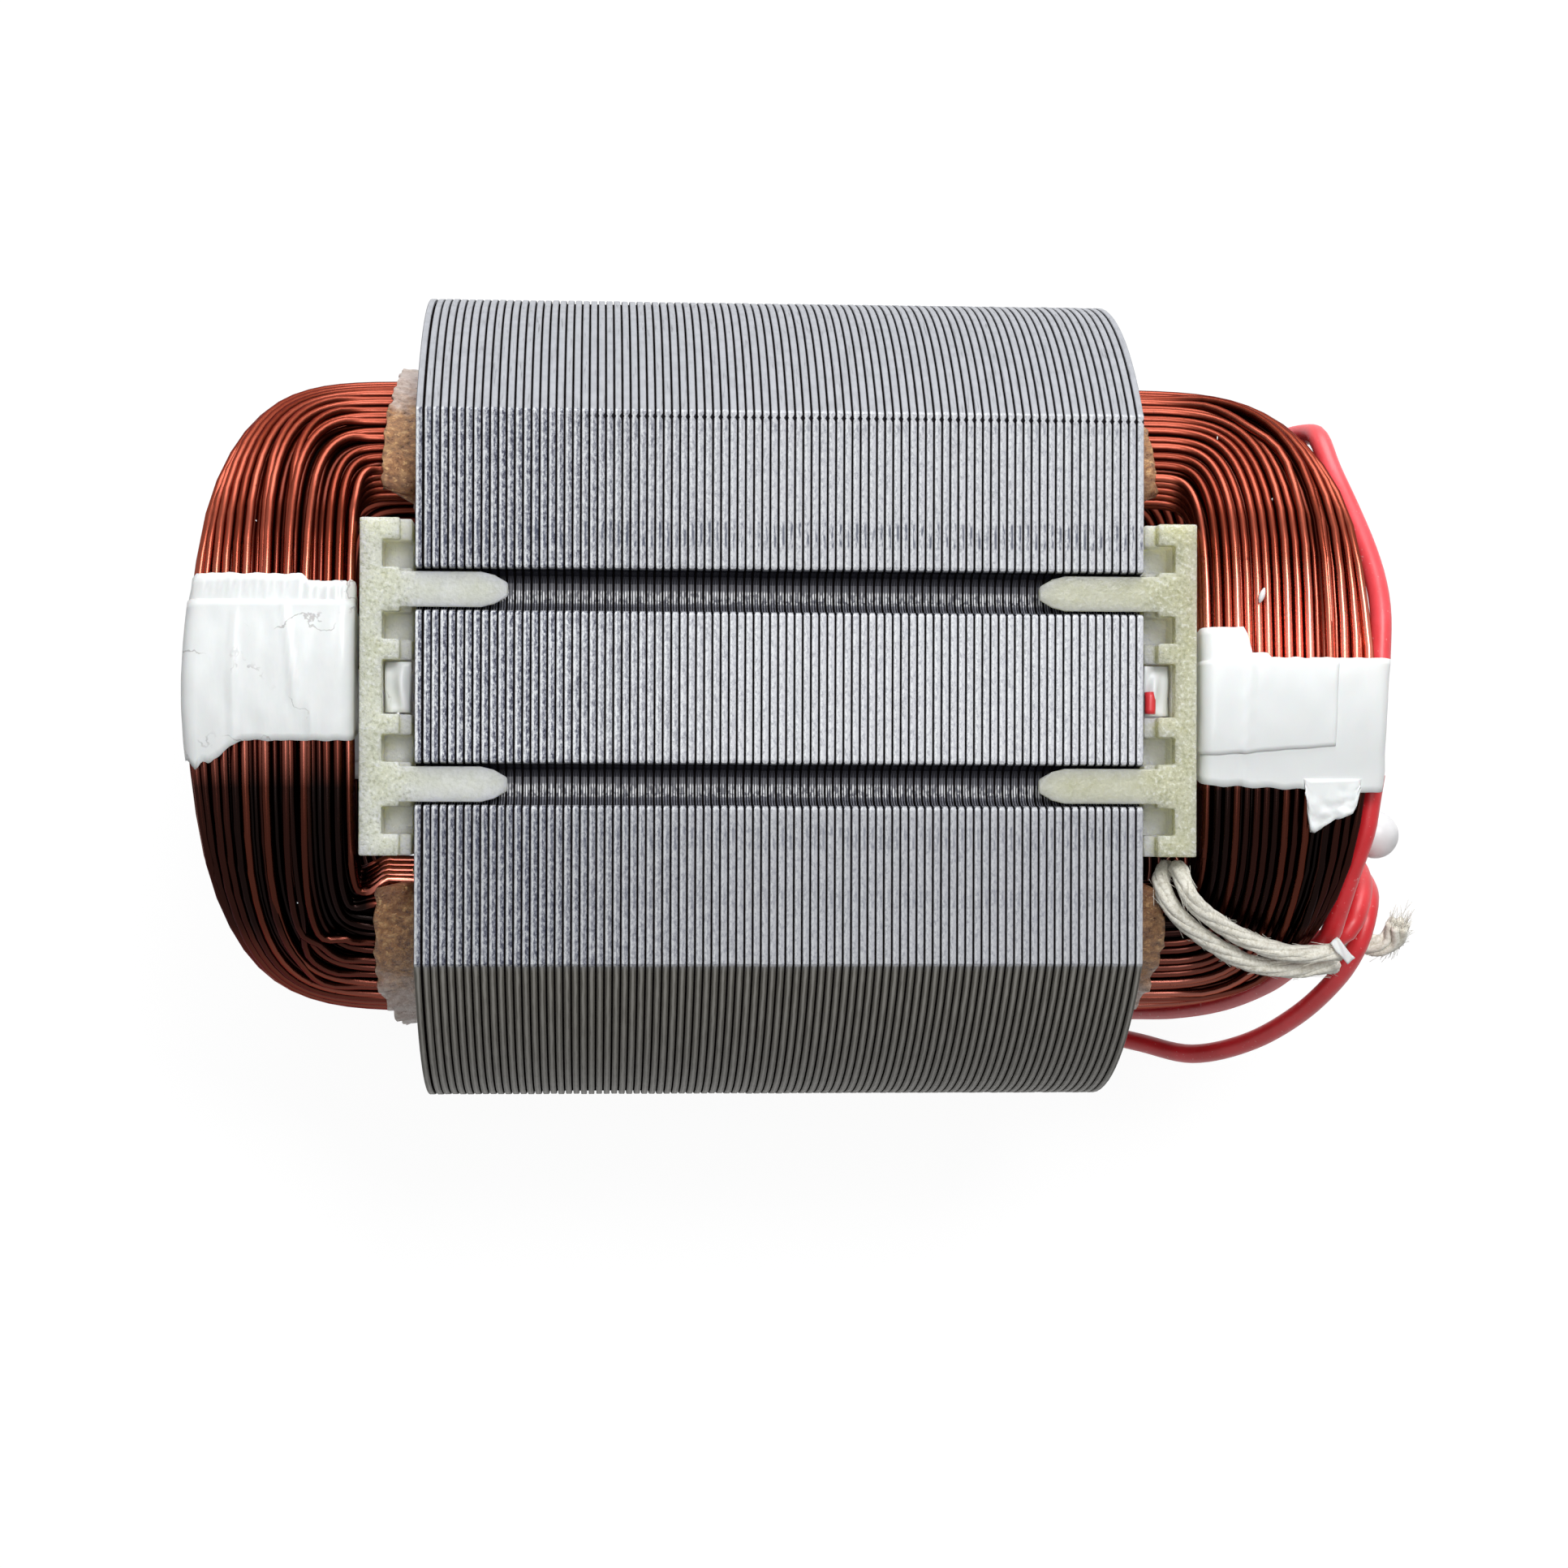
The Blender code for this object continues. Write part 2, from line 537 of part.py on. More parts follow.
def plate_leg(side, length, x_root):
    """One leg that runs in a groove of the core's flat and narrows at its tip."""
    half_width = GROOVE_WIDTH / 2 - LEG_CLEARANCE
    depth = GROOVE_DEPTH - LEG_CLEARANCE - (FLAT_DISTANCE - PLATE_TOP)
    wall_depth = GROOVE_WALL_DEPTH - LEG_CLEARANCE - (FLAT_DISTANCE - PLATE_TOP)
    outline = groove_outline(side * GROOVE_OFFSET, half_width, depth, wall_depth, PLATE_TOP)
    centre = (side * GROOVE_OFFSET, PLATE_TOP)
    bm = bmesh.new()
    cap = first_cap(bm, outline, x_root)
    shoulder = HALF_LENGTH - length + LEG_TIP_LENGTH
    cap = extrude_step(bm, cap, shoulder - x_root, 1.0, centre)
    cap = extrude_step(bm, cap, -LEG_TIP_LENGTH / 2, LEG_SHOULDER_SHARE, centre)
    extrude_step(bm, cap, -LEG_TIP_LENGTH / 2, LEG_TIP_SHARE / LEG_SHOULDER_SHARE, centre)
    return mesh_from(bm, "leg")


def plate_mesh(end, cutters):
    """The moulded plate of one end: a wall, ribs and pockets towards the core, and two legs."""
    side_angle = math.asin(PLATE_HALF_WIDTH / PLATE_LOW_RADIUS)
    outline = [(PLATE_HALF_WIDTH, PLATE_TOP), (-PLATE_HALF_WIDTH, PLATE_TOP)]
    outline += arc(PLATE_LOW_RADIUS, -side_angle, side_angle, BORE_ARC_STEP)
    near = HALF_LENGTH + PLATE_CLEARANCE
    far = HALF_LENGTH + PLATE_REACH
    wall = far - PLATE_WALL
    plate = make_cutter(prism(f"plate_blank_{end}", outline, near, far, cutters))
    leg_low = GROOVE_OFFSET - PLATE_LEG_RIB_WIDTH / 2
    leg_high = GROOVE_OFFSET + PLATE_LEG_RIB_WIDTH / 2
    rib = PLATE_OPENING_HALF_WIDTH + PLATE_RIB_WIDTH
    end_rib = PLATE_HALF_WIDTH - PLATE_END_RIB_WIDTH
    pockets = [(-end_rib, -leg_high), (-leg_low, -rib), (rib, leg_low), (leg_high, end_rib)]
    for i, (low, high) in enumerate(pockets):
        pocket = box(f"pocket_{end}_{i}", (HALF_LENGTH, low, PLATE_FLOOR), (wall, high, CORE_RADIUS), cutters)
        boolean(plate, make_cutter(pocket))
    low = (HALF_LENGTH, -PLATE_OPENING_HALF_WIDTH, BORE_RADIUS / 2)
    high = (wall, PLATE_OPENING_HALF_WIDTH, CORE_RADIUS)
    boolean(plate, make_cutter(box(f"opening_{end}", low, high, cutters)))
    step_low = (HALF_LENGTH, -CORE_RADIUS, PLATE_TOP - RIB_STEP_HEIGHT)
    step_high = (near + RIB_STEP, CORE_RADIUS, CORE_RADIUS)
    boolean(plate, make_cutter(box(f"rib_step_{end}", step_low, step_high, cutters)))
    for side in (-1, 1):
        leg_data = plate_leg(side, LEG_LENGTH[end], wall + PLATE_WALL / 3)
        leg = add_object(f"leg_{end}_{side}", leg_data, cutters)
        boolean(plate, make_cutter(leg), "UNION")
    return applied_mesh(plate, "end_plate")


def build_plates(parts, cutters, material):
    """Four plates. The left ones are turned about Z, and the lower ones about the motor axis."""
    for end, side in ((-1, "left"), (1, "right")):
        mesh = plate_mesh(end, cutters)
        for level, turn in (("upper", 0.0), ("lower", math.pi)):
            plate = add_object(f"end_plate_{level}_{side}", mesh, parts, material)
            plate.location = AXIS_PLACE
            plate.rotation_euler = (turn, 0.0, math.pi if end < 0 else 0.0)


def smooth_route(route, origin, spacing):
    """Evenly spaced points of a smooth curve through a route, which is in millimetres from its origin."""
    knots = [Vector(point) * MM + origin for point in route]
    knots = [2 * knots[0] - knots[1], *knots, 2 * knots[-1] - knots[-2]]
    fine = []
    for before, start, end, after in zip(knots, knots[1:], knots[2:], knots[3:]):
        for step in range(ROUTE_STEPS):
            t = step / ROUTE_STEPS
            fine.append(0.5 * (
                2 * start + (end - before) * t + (2 * before - 5 * start + 4 * end - after) * t ** 2
                + (3 * start - before - 3 * end + after) * t ** 3))
    fine.append(knots[-2])
    lengths = [0.0]
    for first, second in zip(fine, fine[1:]):
        lengths.append(lengths[-1] + (second - first).length)
    count = max(2, round(lengths[-1] / spacing))
    points = []
    index = 0
    for i in range(count + 1):
        target = lengths[-1] * i / count
        while index < len(fine) - 2 and lengths[index + 1] < target:
            index += 1
        share = (target - lengths[index]) / (lengths[index + 1] - lengths[index])
        points.append(fine[index].lerp(fine[index + 1], min(1.0, share)))
    return points


def build_cord(name, route, origin, diameter, spacing, parts, material):
    curve = bpy.data.curves.new(name, "CURVE")
    curve.dimensions = "3D"
    curve.bevel_depth = diameter / 2
    curve.bevel_resolution = CORD_BEVEL_RESOLUTION
    curve.use_fill_caps = True
    points = smooth_route(route, origin, spacing)
    spline = curve.splines.new("POLY")
    spline.points.add(len(points) - 1)
    for knot, point in zip(spline.points, points):
        knot.co = (*point, 1.0)
    add_object(name, curve, parts, material)
    return points


def build_tinned_end(name, points, parts, material):
    """The bare tinned conductor that stands out of a lead's end."""
    direction = (points[-1] - points[-2]).normalized()
    bm = bmesh.new()
    bmesh.ops.create_cone(
        bm, cap_ends=True, segments=TINNED_SEGMENTS, radius1=TINNED_DIAMETER / 2, radius2=TINNED_DIAMETER / 2,
        depth=TINNED_LENGTH)
    end = add_object(name, mesh_from(bm, name), parts, material)
    end.rotation_euler = direction.to_track_quat("Z", "Y").to_euler()
    end.location = points[-1] + direction * (TINNED_LENGTH / 2 + SHEET_CLEARANCE)


def build_splice_cap(parts, material):
    """The insulating cap over the joint between the lower coil's wire and its lead."""
    axis = CAP_HIGH - CAP_LOW
    bm = bmesh.new()
    bmesh.ops.create_uvsphere(bm, u_segments=CAP_SEGMENTS, v_segments=CAP_RINGS, radius=CAP_RADIUS)
    for vert in bm.verts:
        vert.co.z += math.copysign(axis.length / 2, vert.co.z)
    cap = add_object("splice_cap", mesh_from(bm, "splice_cap"), parts, material)
    cap.rotation_euler = axis.to_track_quat("Z", "Y").to_euler()
    cap.location = LEAD_END_PLACE + (CAP_LOW + CAP_HIGH) / 2


def build_tie(parts, material):
    """The flat strip whose fold holds the lacing's knot."""
    corner = Vector((TIE_WIDTH, TIE_LENGTH, TIE_THICKNESS)) / 2
    tie = box("lacing_tie", -corner, corner, parts)
    tie.location = LEAD_END_PLACE + TIE_PLACE
    tie.rotation_euler.z = TIE_TURN
    tie.data.materials.append(material)


def main():
    for item in list(bpy.data.objects):
        bpy.data.objects.remove(item)
    parts = new_collection("wound_stator")
    cutters = new_collection("cutters")

    steel = new_material("core_steel", (0.42, 0.44, 0.47), 0.45, 0.8)
    copper = new_material("copper_wire", (0.45, 0.12, 0.05), 0.3, 0.6)
    nylon = new_material("nylon", (0.72, 0.74, 0.58), 0.4)
    paper = new_material("liner_paper", (0.42, 0.24, 0.12), 0.7)
    tape = new_material("white_tape", (0.85, 0.86, 0.85), 0.35)
    red = new_material("red_insulation", (0.72, 0.05, 0.07), 0.4)
    tin = new_material("tinned_wire", (0.75, 0.75, 0.74), 0.3, 1.0)
    cotton = new_material("cotton_lacing", (0.82, 0.79, 0.71), 0.9)
    sleeve = new_material("white_sleeve", (0.84, 0.85, 0.86), 0.4)

    build_core(parts, cutters, steel)
    build_liners(parts, cutters, paper)
    build_coils(parts, copper)
    build_plates(parts, cutters, nylon)
    build_tapes(parts, tape)

    build_cord("jumper_lead", JUMPER_ROUTE, AXIS_PLACE, LEAD_DIAMETER, LEAD_POINT_SPACING, parts, red)
    line_leads = {
        "upper_lead": UPPER_LEAD_ROUTE, "lower_lead": LOWER_LEAD_ROUTE, "loop_lead": LOOP_LEAD_ROUTE,
    }
    for name, route in line_leads.items():
        points = build_cord(name, route, AXIS_PLACE, LEAD_DIAMETER, LEAD_POINT_SPACING, parts, red)
        build_tinned_end(name + "_end", points, parts, tin)
    for name, route in LACING_ROUTES.items():
        build_cord(name, route, LEAD_END_PLACE, LACING_DIAMETER, LACING_POINT_SPACING, parts, cotton)
    build_tie(parts, tape)
    build_splice_cap(parts, sleeve)


main()
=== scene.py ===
import math
import random

import bmesh
import bpy
import numpy as np
from mathutils import Euler, Matrix, Vector, noise


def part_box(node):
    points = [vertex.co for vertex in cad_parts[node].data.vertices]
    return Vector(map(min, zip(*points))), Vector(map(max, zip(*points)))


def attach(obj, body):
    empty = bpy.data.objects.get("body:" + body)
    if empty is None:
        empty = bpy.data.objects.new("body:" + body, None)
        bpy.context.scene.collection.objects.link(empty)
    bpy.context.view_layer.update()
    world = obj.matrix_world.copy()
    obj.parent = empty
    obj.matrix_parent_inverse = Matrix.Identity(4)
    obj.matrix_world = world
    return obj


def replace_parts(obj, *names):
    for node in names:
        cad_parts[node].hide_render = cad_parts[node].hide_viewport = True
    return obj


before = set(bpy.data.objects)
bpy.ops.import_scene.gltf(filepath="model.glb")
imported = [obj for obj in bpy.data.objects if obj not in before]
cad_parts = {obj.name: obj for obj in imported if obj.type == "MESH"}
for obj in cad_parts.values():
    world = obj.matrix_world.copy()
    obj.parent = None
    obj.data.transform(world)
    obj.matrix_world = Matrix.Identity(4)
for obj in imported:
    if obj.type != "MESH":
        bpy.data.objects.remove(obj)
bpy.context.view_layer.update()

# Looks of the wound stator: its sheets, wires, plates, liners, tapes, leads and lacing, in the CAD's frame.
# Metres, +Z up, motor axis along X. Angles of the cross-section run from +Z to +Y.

MM = 0.001
CORE_LOW, CORE_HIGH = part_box("lamination_stack")
HALF_LENGTH = CORE_HIGH.x
AXIS_PLACE = Vector((0, 0, (CORE_LOW.z + CORE_HIGH.z) / 2))
END_PLACE = AXIS_PLACE + Vector((HALF_LENGTH, 0, 0))
FLAT_DISTANCE = (CORE_HIGH.z - CORE_LOW.z) / 2

# Core
SHEET_COUNT = 89
SHEET_PITCH = 2 * HALF_LENGTH / SHEET_COUNT
SHEET_GAP = 0.15 * MM
SHEET_CHAMFER = 0.05 * MM
SHEET_JITTER = 0.012 * MM
CORE_RADIUS = 34.5 * MM
BORE_RADIUS = 20.2 * MM
HORN_BACK_RADIUS = 22.3 * MM
HORN_TIP_ANGLE = math.radians(68)
POLE_HALF_WIDTH = 13.9 * MM
SLOT_RADIUS = 28.5 * MM
SLOT_ROOF_HEIGHT = 22.25 * MM
GROOVE_OFFSET = 7.67 * MM
GROOVE_WIDTH = 3.6 * MM
GROOVE_DEPTH = 2.3 * MM
GROOVE_MOUTH_RADIUS = 0.3 * MM
CORE_ARC_STEP = math.radians(3.2)
BORE_ARC_STEP = math.radians(7)
FIRST_SHEET_GAP = 0.06 * MM
CORE_FILL_INSET = 0.28 * MM

# Coils
WIRE_DIAMETER = 0.74 * MM
SLOT_LOW_RADIUS = 23.25 * MM
SLOT_HIGH_RADIUS = 27.55 * MM
TURN_LOW_RADIUS = 20.9 * MM
TURN_HIGH_RADIUS = 25.8 * MM
TURN_FLAT_ANGLE = math.radians(12)
TURN_RISE_ANGLE = math.radians(36)
INNER_ANGLE = math.radians(39.97)
OUTER_ANGLE = math.radians(83)
INNER_OVERHANG = 5.27 * MM
OUTER_OVERHANG = {-1: 17.9 * MM, 1: 18.9 * MM}
INNER_POWER = 6.5
OUTER_POWER = {-1: 1.95, 1: 2}
BUNDLE_WIDTH = 13 * MM
BUNDLE_HEIGHT = TURN_HIGH_RADIUS - TURN_LOW_RADIUS
BUNDLE_CORNER = 0.7 * MM
# Each layer's depth, wires, sides, sway and range of tones. The inner layer's low tones paint shade beneath
# the outer wires.
WIRE_LAYERS = (
    (0.5 * WIRE_DIAMETER, 40, 8, 0.0035, 0.35, 1), (1.35 * WIRE_DIAMETER, 38, 6, 0.008, 0.05, 0.25))
WIRE_STEPS = 34
CROSSING_SHARE = 0.32
CROSSING_LIFT = 0.09
OUTER_SPREAD = 0.04
CORNER_FILL = 0.16
OUTER_LIMIT = {-1: 0.985, 1: 1.055}

# Plates and liners
PLATE_FLOOR = (21.6 * MM, 22.4 * MM)
PLATE_BEVEL = 0.34 * MM
POCKET_FILL = 2.8 * MM
OPENING_HEIGHT = 24.4
LINER_WALL_INSET = 0.47 * MM
LINER_THICKNESS = 0.3 * MM
CUFF_STEPS = 8
CUFF_PLACES = (15.7 * MM, 18.5 * MM, 21.5 * MM, 24.5 * MM, 28 * MM)
CUFF_RADIUS = 27.85 * MM

# How far each liner's cuffs stand out on the left and right, in millimetres, at CUFF_PLACES
LINERS = (
    ("upper_back", (0, 0, 0), (2.7, 2.8, 2.8, 2.6, 2.3), (1.6, 1.8, 1.8, 1.3, 0.8)),
    ("upper_front", (0, 0, math.pi), (3.1, 3.4, 3.6, 3.5, 2.2), (1.5, 2.7, 3, 2.7, 1.6)),
    ("lower_back", (0, math.pi, 0), (2.4, 2.7, 2.9, 2.6, 1.8), (2.2, 2.6, 2.7, 2.4, 1.7)),
    ("lower_front", (math.pi, 0, 0), (2.6, 2.9, 3, 2.6, 1.9), (2.1, 2.6, 2.8, 2.5, 1.6)),
)

# Tapes
TAPE_THICKNESS = 0.1 * MM
TAPE_GAP = 0.14 * MM
TAPE_GROWTH = TAPE_GAP + TAPE_THICKNESS
SECOND_GROWTH = TAPE_GROWTH + 1.2 * TAPE_THICKNESS
TAPE_LEAD_ROOM = {-1: 0.05 * MM, 1: 1 * MM}
TAPE_LEAD_SWELL = 0.3 * MM
TAPE_COLUMNS = 132
TAPE_ROWS = 20
TAPE_ANGLES = [0.05 * step for step in range(-10, 11)]
FLAP_EDGE = ((0, -8.4), (0.14, -11.5), (0.2, -11.3), (0.5, -10.4), (0.7, -10.1), (0.91, -9.7), (1, -8))

# Cords
LEAD_DIAMETER = 1.75 * MM
LEAD_FLOOR_Z = (LEAD_DIAMETER / 2 + 0.05 * MM) / MM - FLAT_DISTANCE / MM
LACING_SPACING = 0.3 * MM
PLY_COUNT = 6
PLY_RADIUS = 0.36 * MM
PLY_OFFSET = 0.4 * MM
PLY_PITCH = 17 * MM
CAP_RADIUS = 2.1 * MM
CAP_LOW = Vector((25.1, -9.3, -13)) * MM
CAP_HIGH = Vector((26.2, -11.8, -1.2)) * MM

# Camera: fitted to the photograph, in millimetres from the middle of the bore and in degrees
CAMERA_PLACE = Vector((-14.61, -9.02, 257.39))
CAMERA_TURN = (0.348, -3.668, 0.18)
CAMERA_LENS = 67.13

# Lamps: name, place in metres from the middle of the bore, size and power
LAMPS = (
    ("key", (0.1, 0.22, 0.53), (0.2, 0.17), 1.9),
    ("top", (-0.04, -0.02, 0.6), (0.3, 0.2), 0.9),
    ("back", (0.06, 0.62, 0.15), (0.5, 0.36), 3.6),
)

# Lint on the windings, in millimetres from the middle of the bore
SPECK_PLACES = (
    (-44, 17.5), (-41.5, 12.5), (36.5, 21), (43, 12), (40.5, 16), (41.5, -13.5), (36, -18),
    (44, -18.5), (-43.5, -14.5), (-38, -16.5), (37.5, -14.5),
)

# The CAD's routes in millimetres: the leads' from the middle of the bore, the lacing's from the core's end
LEAD_ROUTES = {
    "jumper_lead": [
        (48.95, 2.2, 23.1), (49.2, 6.2, 22.5), (49.05, 9.1, 21.6), (48.4, 12.1, 20.6), (47.35, 15.5, 19.2),
        (46.3, 18.9, 17.4), (45.9, 21.6, 15.2), (45.7, 22.4, 12.4), (44.7, 22.5, 8.6), (43.1, 22.0, 3.6),
        (42.6, 21.6, -2.0), (43.3, 21.3, -8.2), (45.4, 19.4, -14.6), (47.6, 14.2, -20.0),
        (48.6, 9.2, -22.0), (48.75, 6.6, -22.5),
    ],
    "upper_lead": [
        (48.7, -6.6, 22.5), (48.5, -8.8, 21.9), (48.2, -11.4, 21.3), (47.4, -14.8, 19.8),
        (46.8, -17.9, 18.2), (46.4, -20.3, 16.2), (45.3, -22.2, 11.6), (43.9, -24.6, 5.5),
        (41.4, -26.7, -1.5), (38.5, -27.9, -8.5), (35.6, -28.4, -14.5), (32.4, -28.8, -20.0),
        (28.6, -28.9, -24.0), (24.0, -28.8, LEAD_FLOOR_Z), (16.0, -28.6, LEAD_FLOOR_Z),
        (4.0, -28.9, LEAD_FLOOR_Z), (-10.0, -28.6, LEAD_FLOOR_Z), (-24.0, -28.8, LEAD_FLOOR_Z),
    ],
    "lower_lead": [
        (49.05, -2.2, -22.3), (49.4, -4.8, -21.0), (50.4, -8.4, -13.5), (51.2, -11.3, -5.0),
        (51.4, -13.4, 3.0), (51.2, -15.4, 9.0), (50.1, -17.8, 12.4), (48.7, -19.9, 13.4),
        (47.3, -20.6, 11.2), (45.8, -21.2, 7.0), (44.8, -22.2, 1.0), (43.6, -24.2, -5.5),
        (41.2, -26.2, -12.0), (37.5, -26.9, -17.5), (34.0, -26.3, -21.5), (30.2, -26.1, -24.7),
        (25.5, -26.0, LEAD_FLOOR_Z), (16.0, -26.2, LEAD_FLOOR_Z), (4.0, -26.0, LEAD_FLOOR_Z),
        (-8.0, -26.2, LEAD_FLOOR_Z), (-20.0, -26.0, LEAD_FLOOR_Z),
    ],
    "loop_lead": [
        (49.05, -2.2, -24.4), (49.5, -5.4, -23.4), (51.6, -10.4, -17.5), (53.2, -13.5, -9.0),
        (53.6, -15.4, -1.0), (53.0, -16.8, 4.6), (52.2, -18.5, 7.2), (51.4, -21.2, 7.2),
        (50.4, -24.2, 4.2), (48.2, -27.8, -1.0), (45.0, -30.8, -7.0), (41.0, -32.4, -13.0),
        (37.1, -31.8, -19.0), (33.4, -31.2, -23.2), (29.2, -31.3, -25.4), (24.0, -31.5, LEAD_FLOOR_Z),
        (14.0, -31.8, LEAD_FLOOR_Z), (2.0, -31.4, LEAD_FLOOR_Z), (-10.0, -31.6, LEAD_FLOOR_Z),
        (-22.0, -31.4, LEAD_FLOOR_Z),
    ],
}
LACING_ROUTES = {
    "lacing_strand_1": [
        (3.55, -14.3, 22.4), (3.5, -14.7, 24.0), (3.8, -15.9, 24.8), (4.65, -17.1, 24.2),
        (6.15, -18.2, 23.0), (8.4, -19.55, 21.4), (10.55, -20.5, 20.4), (12.65, -21.15, 19.7),
        (15.0, -21.4, 19.3), (18.0, -21.2, 18.8),
    ],
    "lacing_strand_2": [
        (3.2, -14.35, 19.4), (2.8, -14.5, 20.9), (2.2, -15.2, 22.5), (2.35, -16.4, 23.5),
        (3.4, -18.0, 23.2), (5.3, -19.5, 21.8), (7.6, -20.9, 20.1), (9.9, -22.0, 18.7),
        (12.4, -22.6, 17.8), (14.8, -22.75, 17.2), (17.3, -22.45, 16.9), (18.2, -22.6, 14.9),
    ],
    "lacing_tail": [
        (18.4, -22.65, 14.2), (19.0, -22.65, 11.0), (19.7, -22.5, 7.4), (20.3, -22.3, 4.2),
        (21.2, -22.0, 2.0), (22.6, -21.6, 1.5), (24.2, -21.4, 2.2), (25.5, -21.5, 2.9), (26.6, -20.8, 3.4),
        (26.8, -19.5, 4.4),
    ],
}


# Numbers and outlines


def mix(low, high, share):
    return low + (high - low) * share


def ease(low, high, value):
    share = min(1, max(0, (value - low) / (high - low)))
    return share * share * (3 - 2 * share)


def wave(x, y, z):
    """Smooth noise of a place, between -1 and 1."""
    return noise.noise(Vector((x, y, z)))


def shares(count):
    return [i / count for i in range(count + 1)]


def polar(radius, angle):
    return (radius * math.sin(angle), radius * math.cos(angle))


def arc(radius, start, end, step):
    """Points of an arc about the motor axis, both ends included."""
    return [polar(radius, mix(start, end, share)) for share in shares(max(1, round(abs(end - start) / step)))]


def groove_points(centre, top):
    """A groove from its -Y mouth to its +Y mouth: rounded mouths, straight walls and a concave floor."""
    radius = GROOVE_MOUTH_RADIUS
    half = GROOVE_WIDTH / 2 - radius / 2
    side = [(half + radius, 0), (half + radius * 0.3, radius * 0.3), (half, radius)]
    side += [(half * wide, GROOVE_DEPTH * deep) for wide, deep in ((0.93, 0.6), (0.72, 0.86), (0.38, 0.98))]
    left = [(centre - across, top - depth) for across, depth in side]
    return left + [(centre + across, top - depth) for across, depth in reversed(side)]


def core_outline():
    """The sheet's outer edge: two arcs, and two flats with a pair of grooves in each."""
    flat_angle = math.acos(FLAT_DISTANCE / CORE_RADIUS)
    flat = groove_points(-GROOVE_OFFSET, FLAT_DISTANCE) + groove_points(GROOVE_OFFSET, FLAT_DISTANCE)
    half = flat + arc(CORE_RADIUS, flat_angle, math.pi - flat_angle, CORE_ARC_STEP)
    return half + [(-across, -up) for across, up in half]


def opening_outline():
    """The bore and the two slots that a sheet leaves open."""
    neck_angle = math.asin(POLE_HALF_WIDTH / HORN_BACK_RADIUS)
    roof_angle = math.acos(SLOT_ROOF_HEIGHT / SLOT_RADIUS)
    quarter = arc(BORE_RADIUS, 0, HORN_TIP_ANGLE, BORE_ARC_STEP)
    quarter += arc(HORN_BACK_RADIUS, HORN_TIP_ANGLE, neck_angle, BORE_ARC_STEP)
    quarter += [(POLE_HALF_WIDTH, SLOT_ROOF_HEIGHT)]
    quarter += arc(SLOT_RADIUS, roof_angle, math.pi / 2, BORE_ARC_STEP)
    half = quarter + [(across, -up) for across, up in reversed(quarter[:-1])]
    return half + [(-across, up) for across, up in reversed(half[1:-1])]


def inset(outline, distance):
    """The outline moved to its right-hand side, point by point, along the mean of its edges' normals."""
    points = np.array(outline)
    normals = unit(np.roll(points, -1, 0) - points)[:, ::-1] * (1, -1)
    mean = unit(normals + np.roll(normals, 1, 0))
    return points + mean * distance / np.maximum(0.5, (mean * normals).sum(1, keepdims=True))


def smooth_route(route, origin, spacing):
    """Evenly spaced points of a smooth curve through a route, which is in millimetres from its origin."""
    knots = [np.array(tuple(Vector(point) * MM + origin)) for point in route]
    knots = [2 * knots[0] - knots[1], *knots, 2 * knots[-1] - knots[-2]]
    fine = []
    for before, start, end, after in zip(knots, knots[1:], knots[2:], knots[3:]):
        for t in shares(20)[:-1]:
            fine.append(0.5 * (
                2 * start + (end - before) * t + (2 * before - 5 * start + 4 * end - after) * t ** 2
                + (3 * start - before - 3 * end + after) * t ** 3))
    fine = np.array([*fine, knots[-2]])
    lengths = np.append(0, np.cumsum(np.linalg.norm(np.diff(fine, axis=0), axis=1)))
    places = np.linspace(0, lengths[-1], max(2, round(lengths[-1] / spacing)) + 1)
    return [Vector(point) for point in zip(*(np.interp(places, lengths, values) for values in fine.T))]


def unit(vectors):
    return vectors / np.linalg.norm(vectors, axis=-1, keepdims=True)


# Mesh helpers


def quads(rows, columns, ring=False, closed=False):
    """Faces of a grid of vertices. ring joins its last column to the first one, and closed its last row."""
    faces = []
    for i in range(rows if closed else rows - 1):
        a, b = i * columns, (i + 1) % rows * columns
        for j in range(columns if ring else columns - 1):
            k = (j + 1) % columns
            faces.append((a + j, a + k, b + k, b + j))
    return faces


def flipped(faces, shift=0):
    return [tuple(face[k] + shift for k in (0, 3, 2, 1)) for face in faces]


def grid_of(rows, columns, place):
    """Points over a rectangle. place gives the one for two shares, each from 0 to 1."""
    return np.array([[tuple(place(i, j)) for j in shares(columns)] for i in shares(rows)])


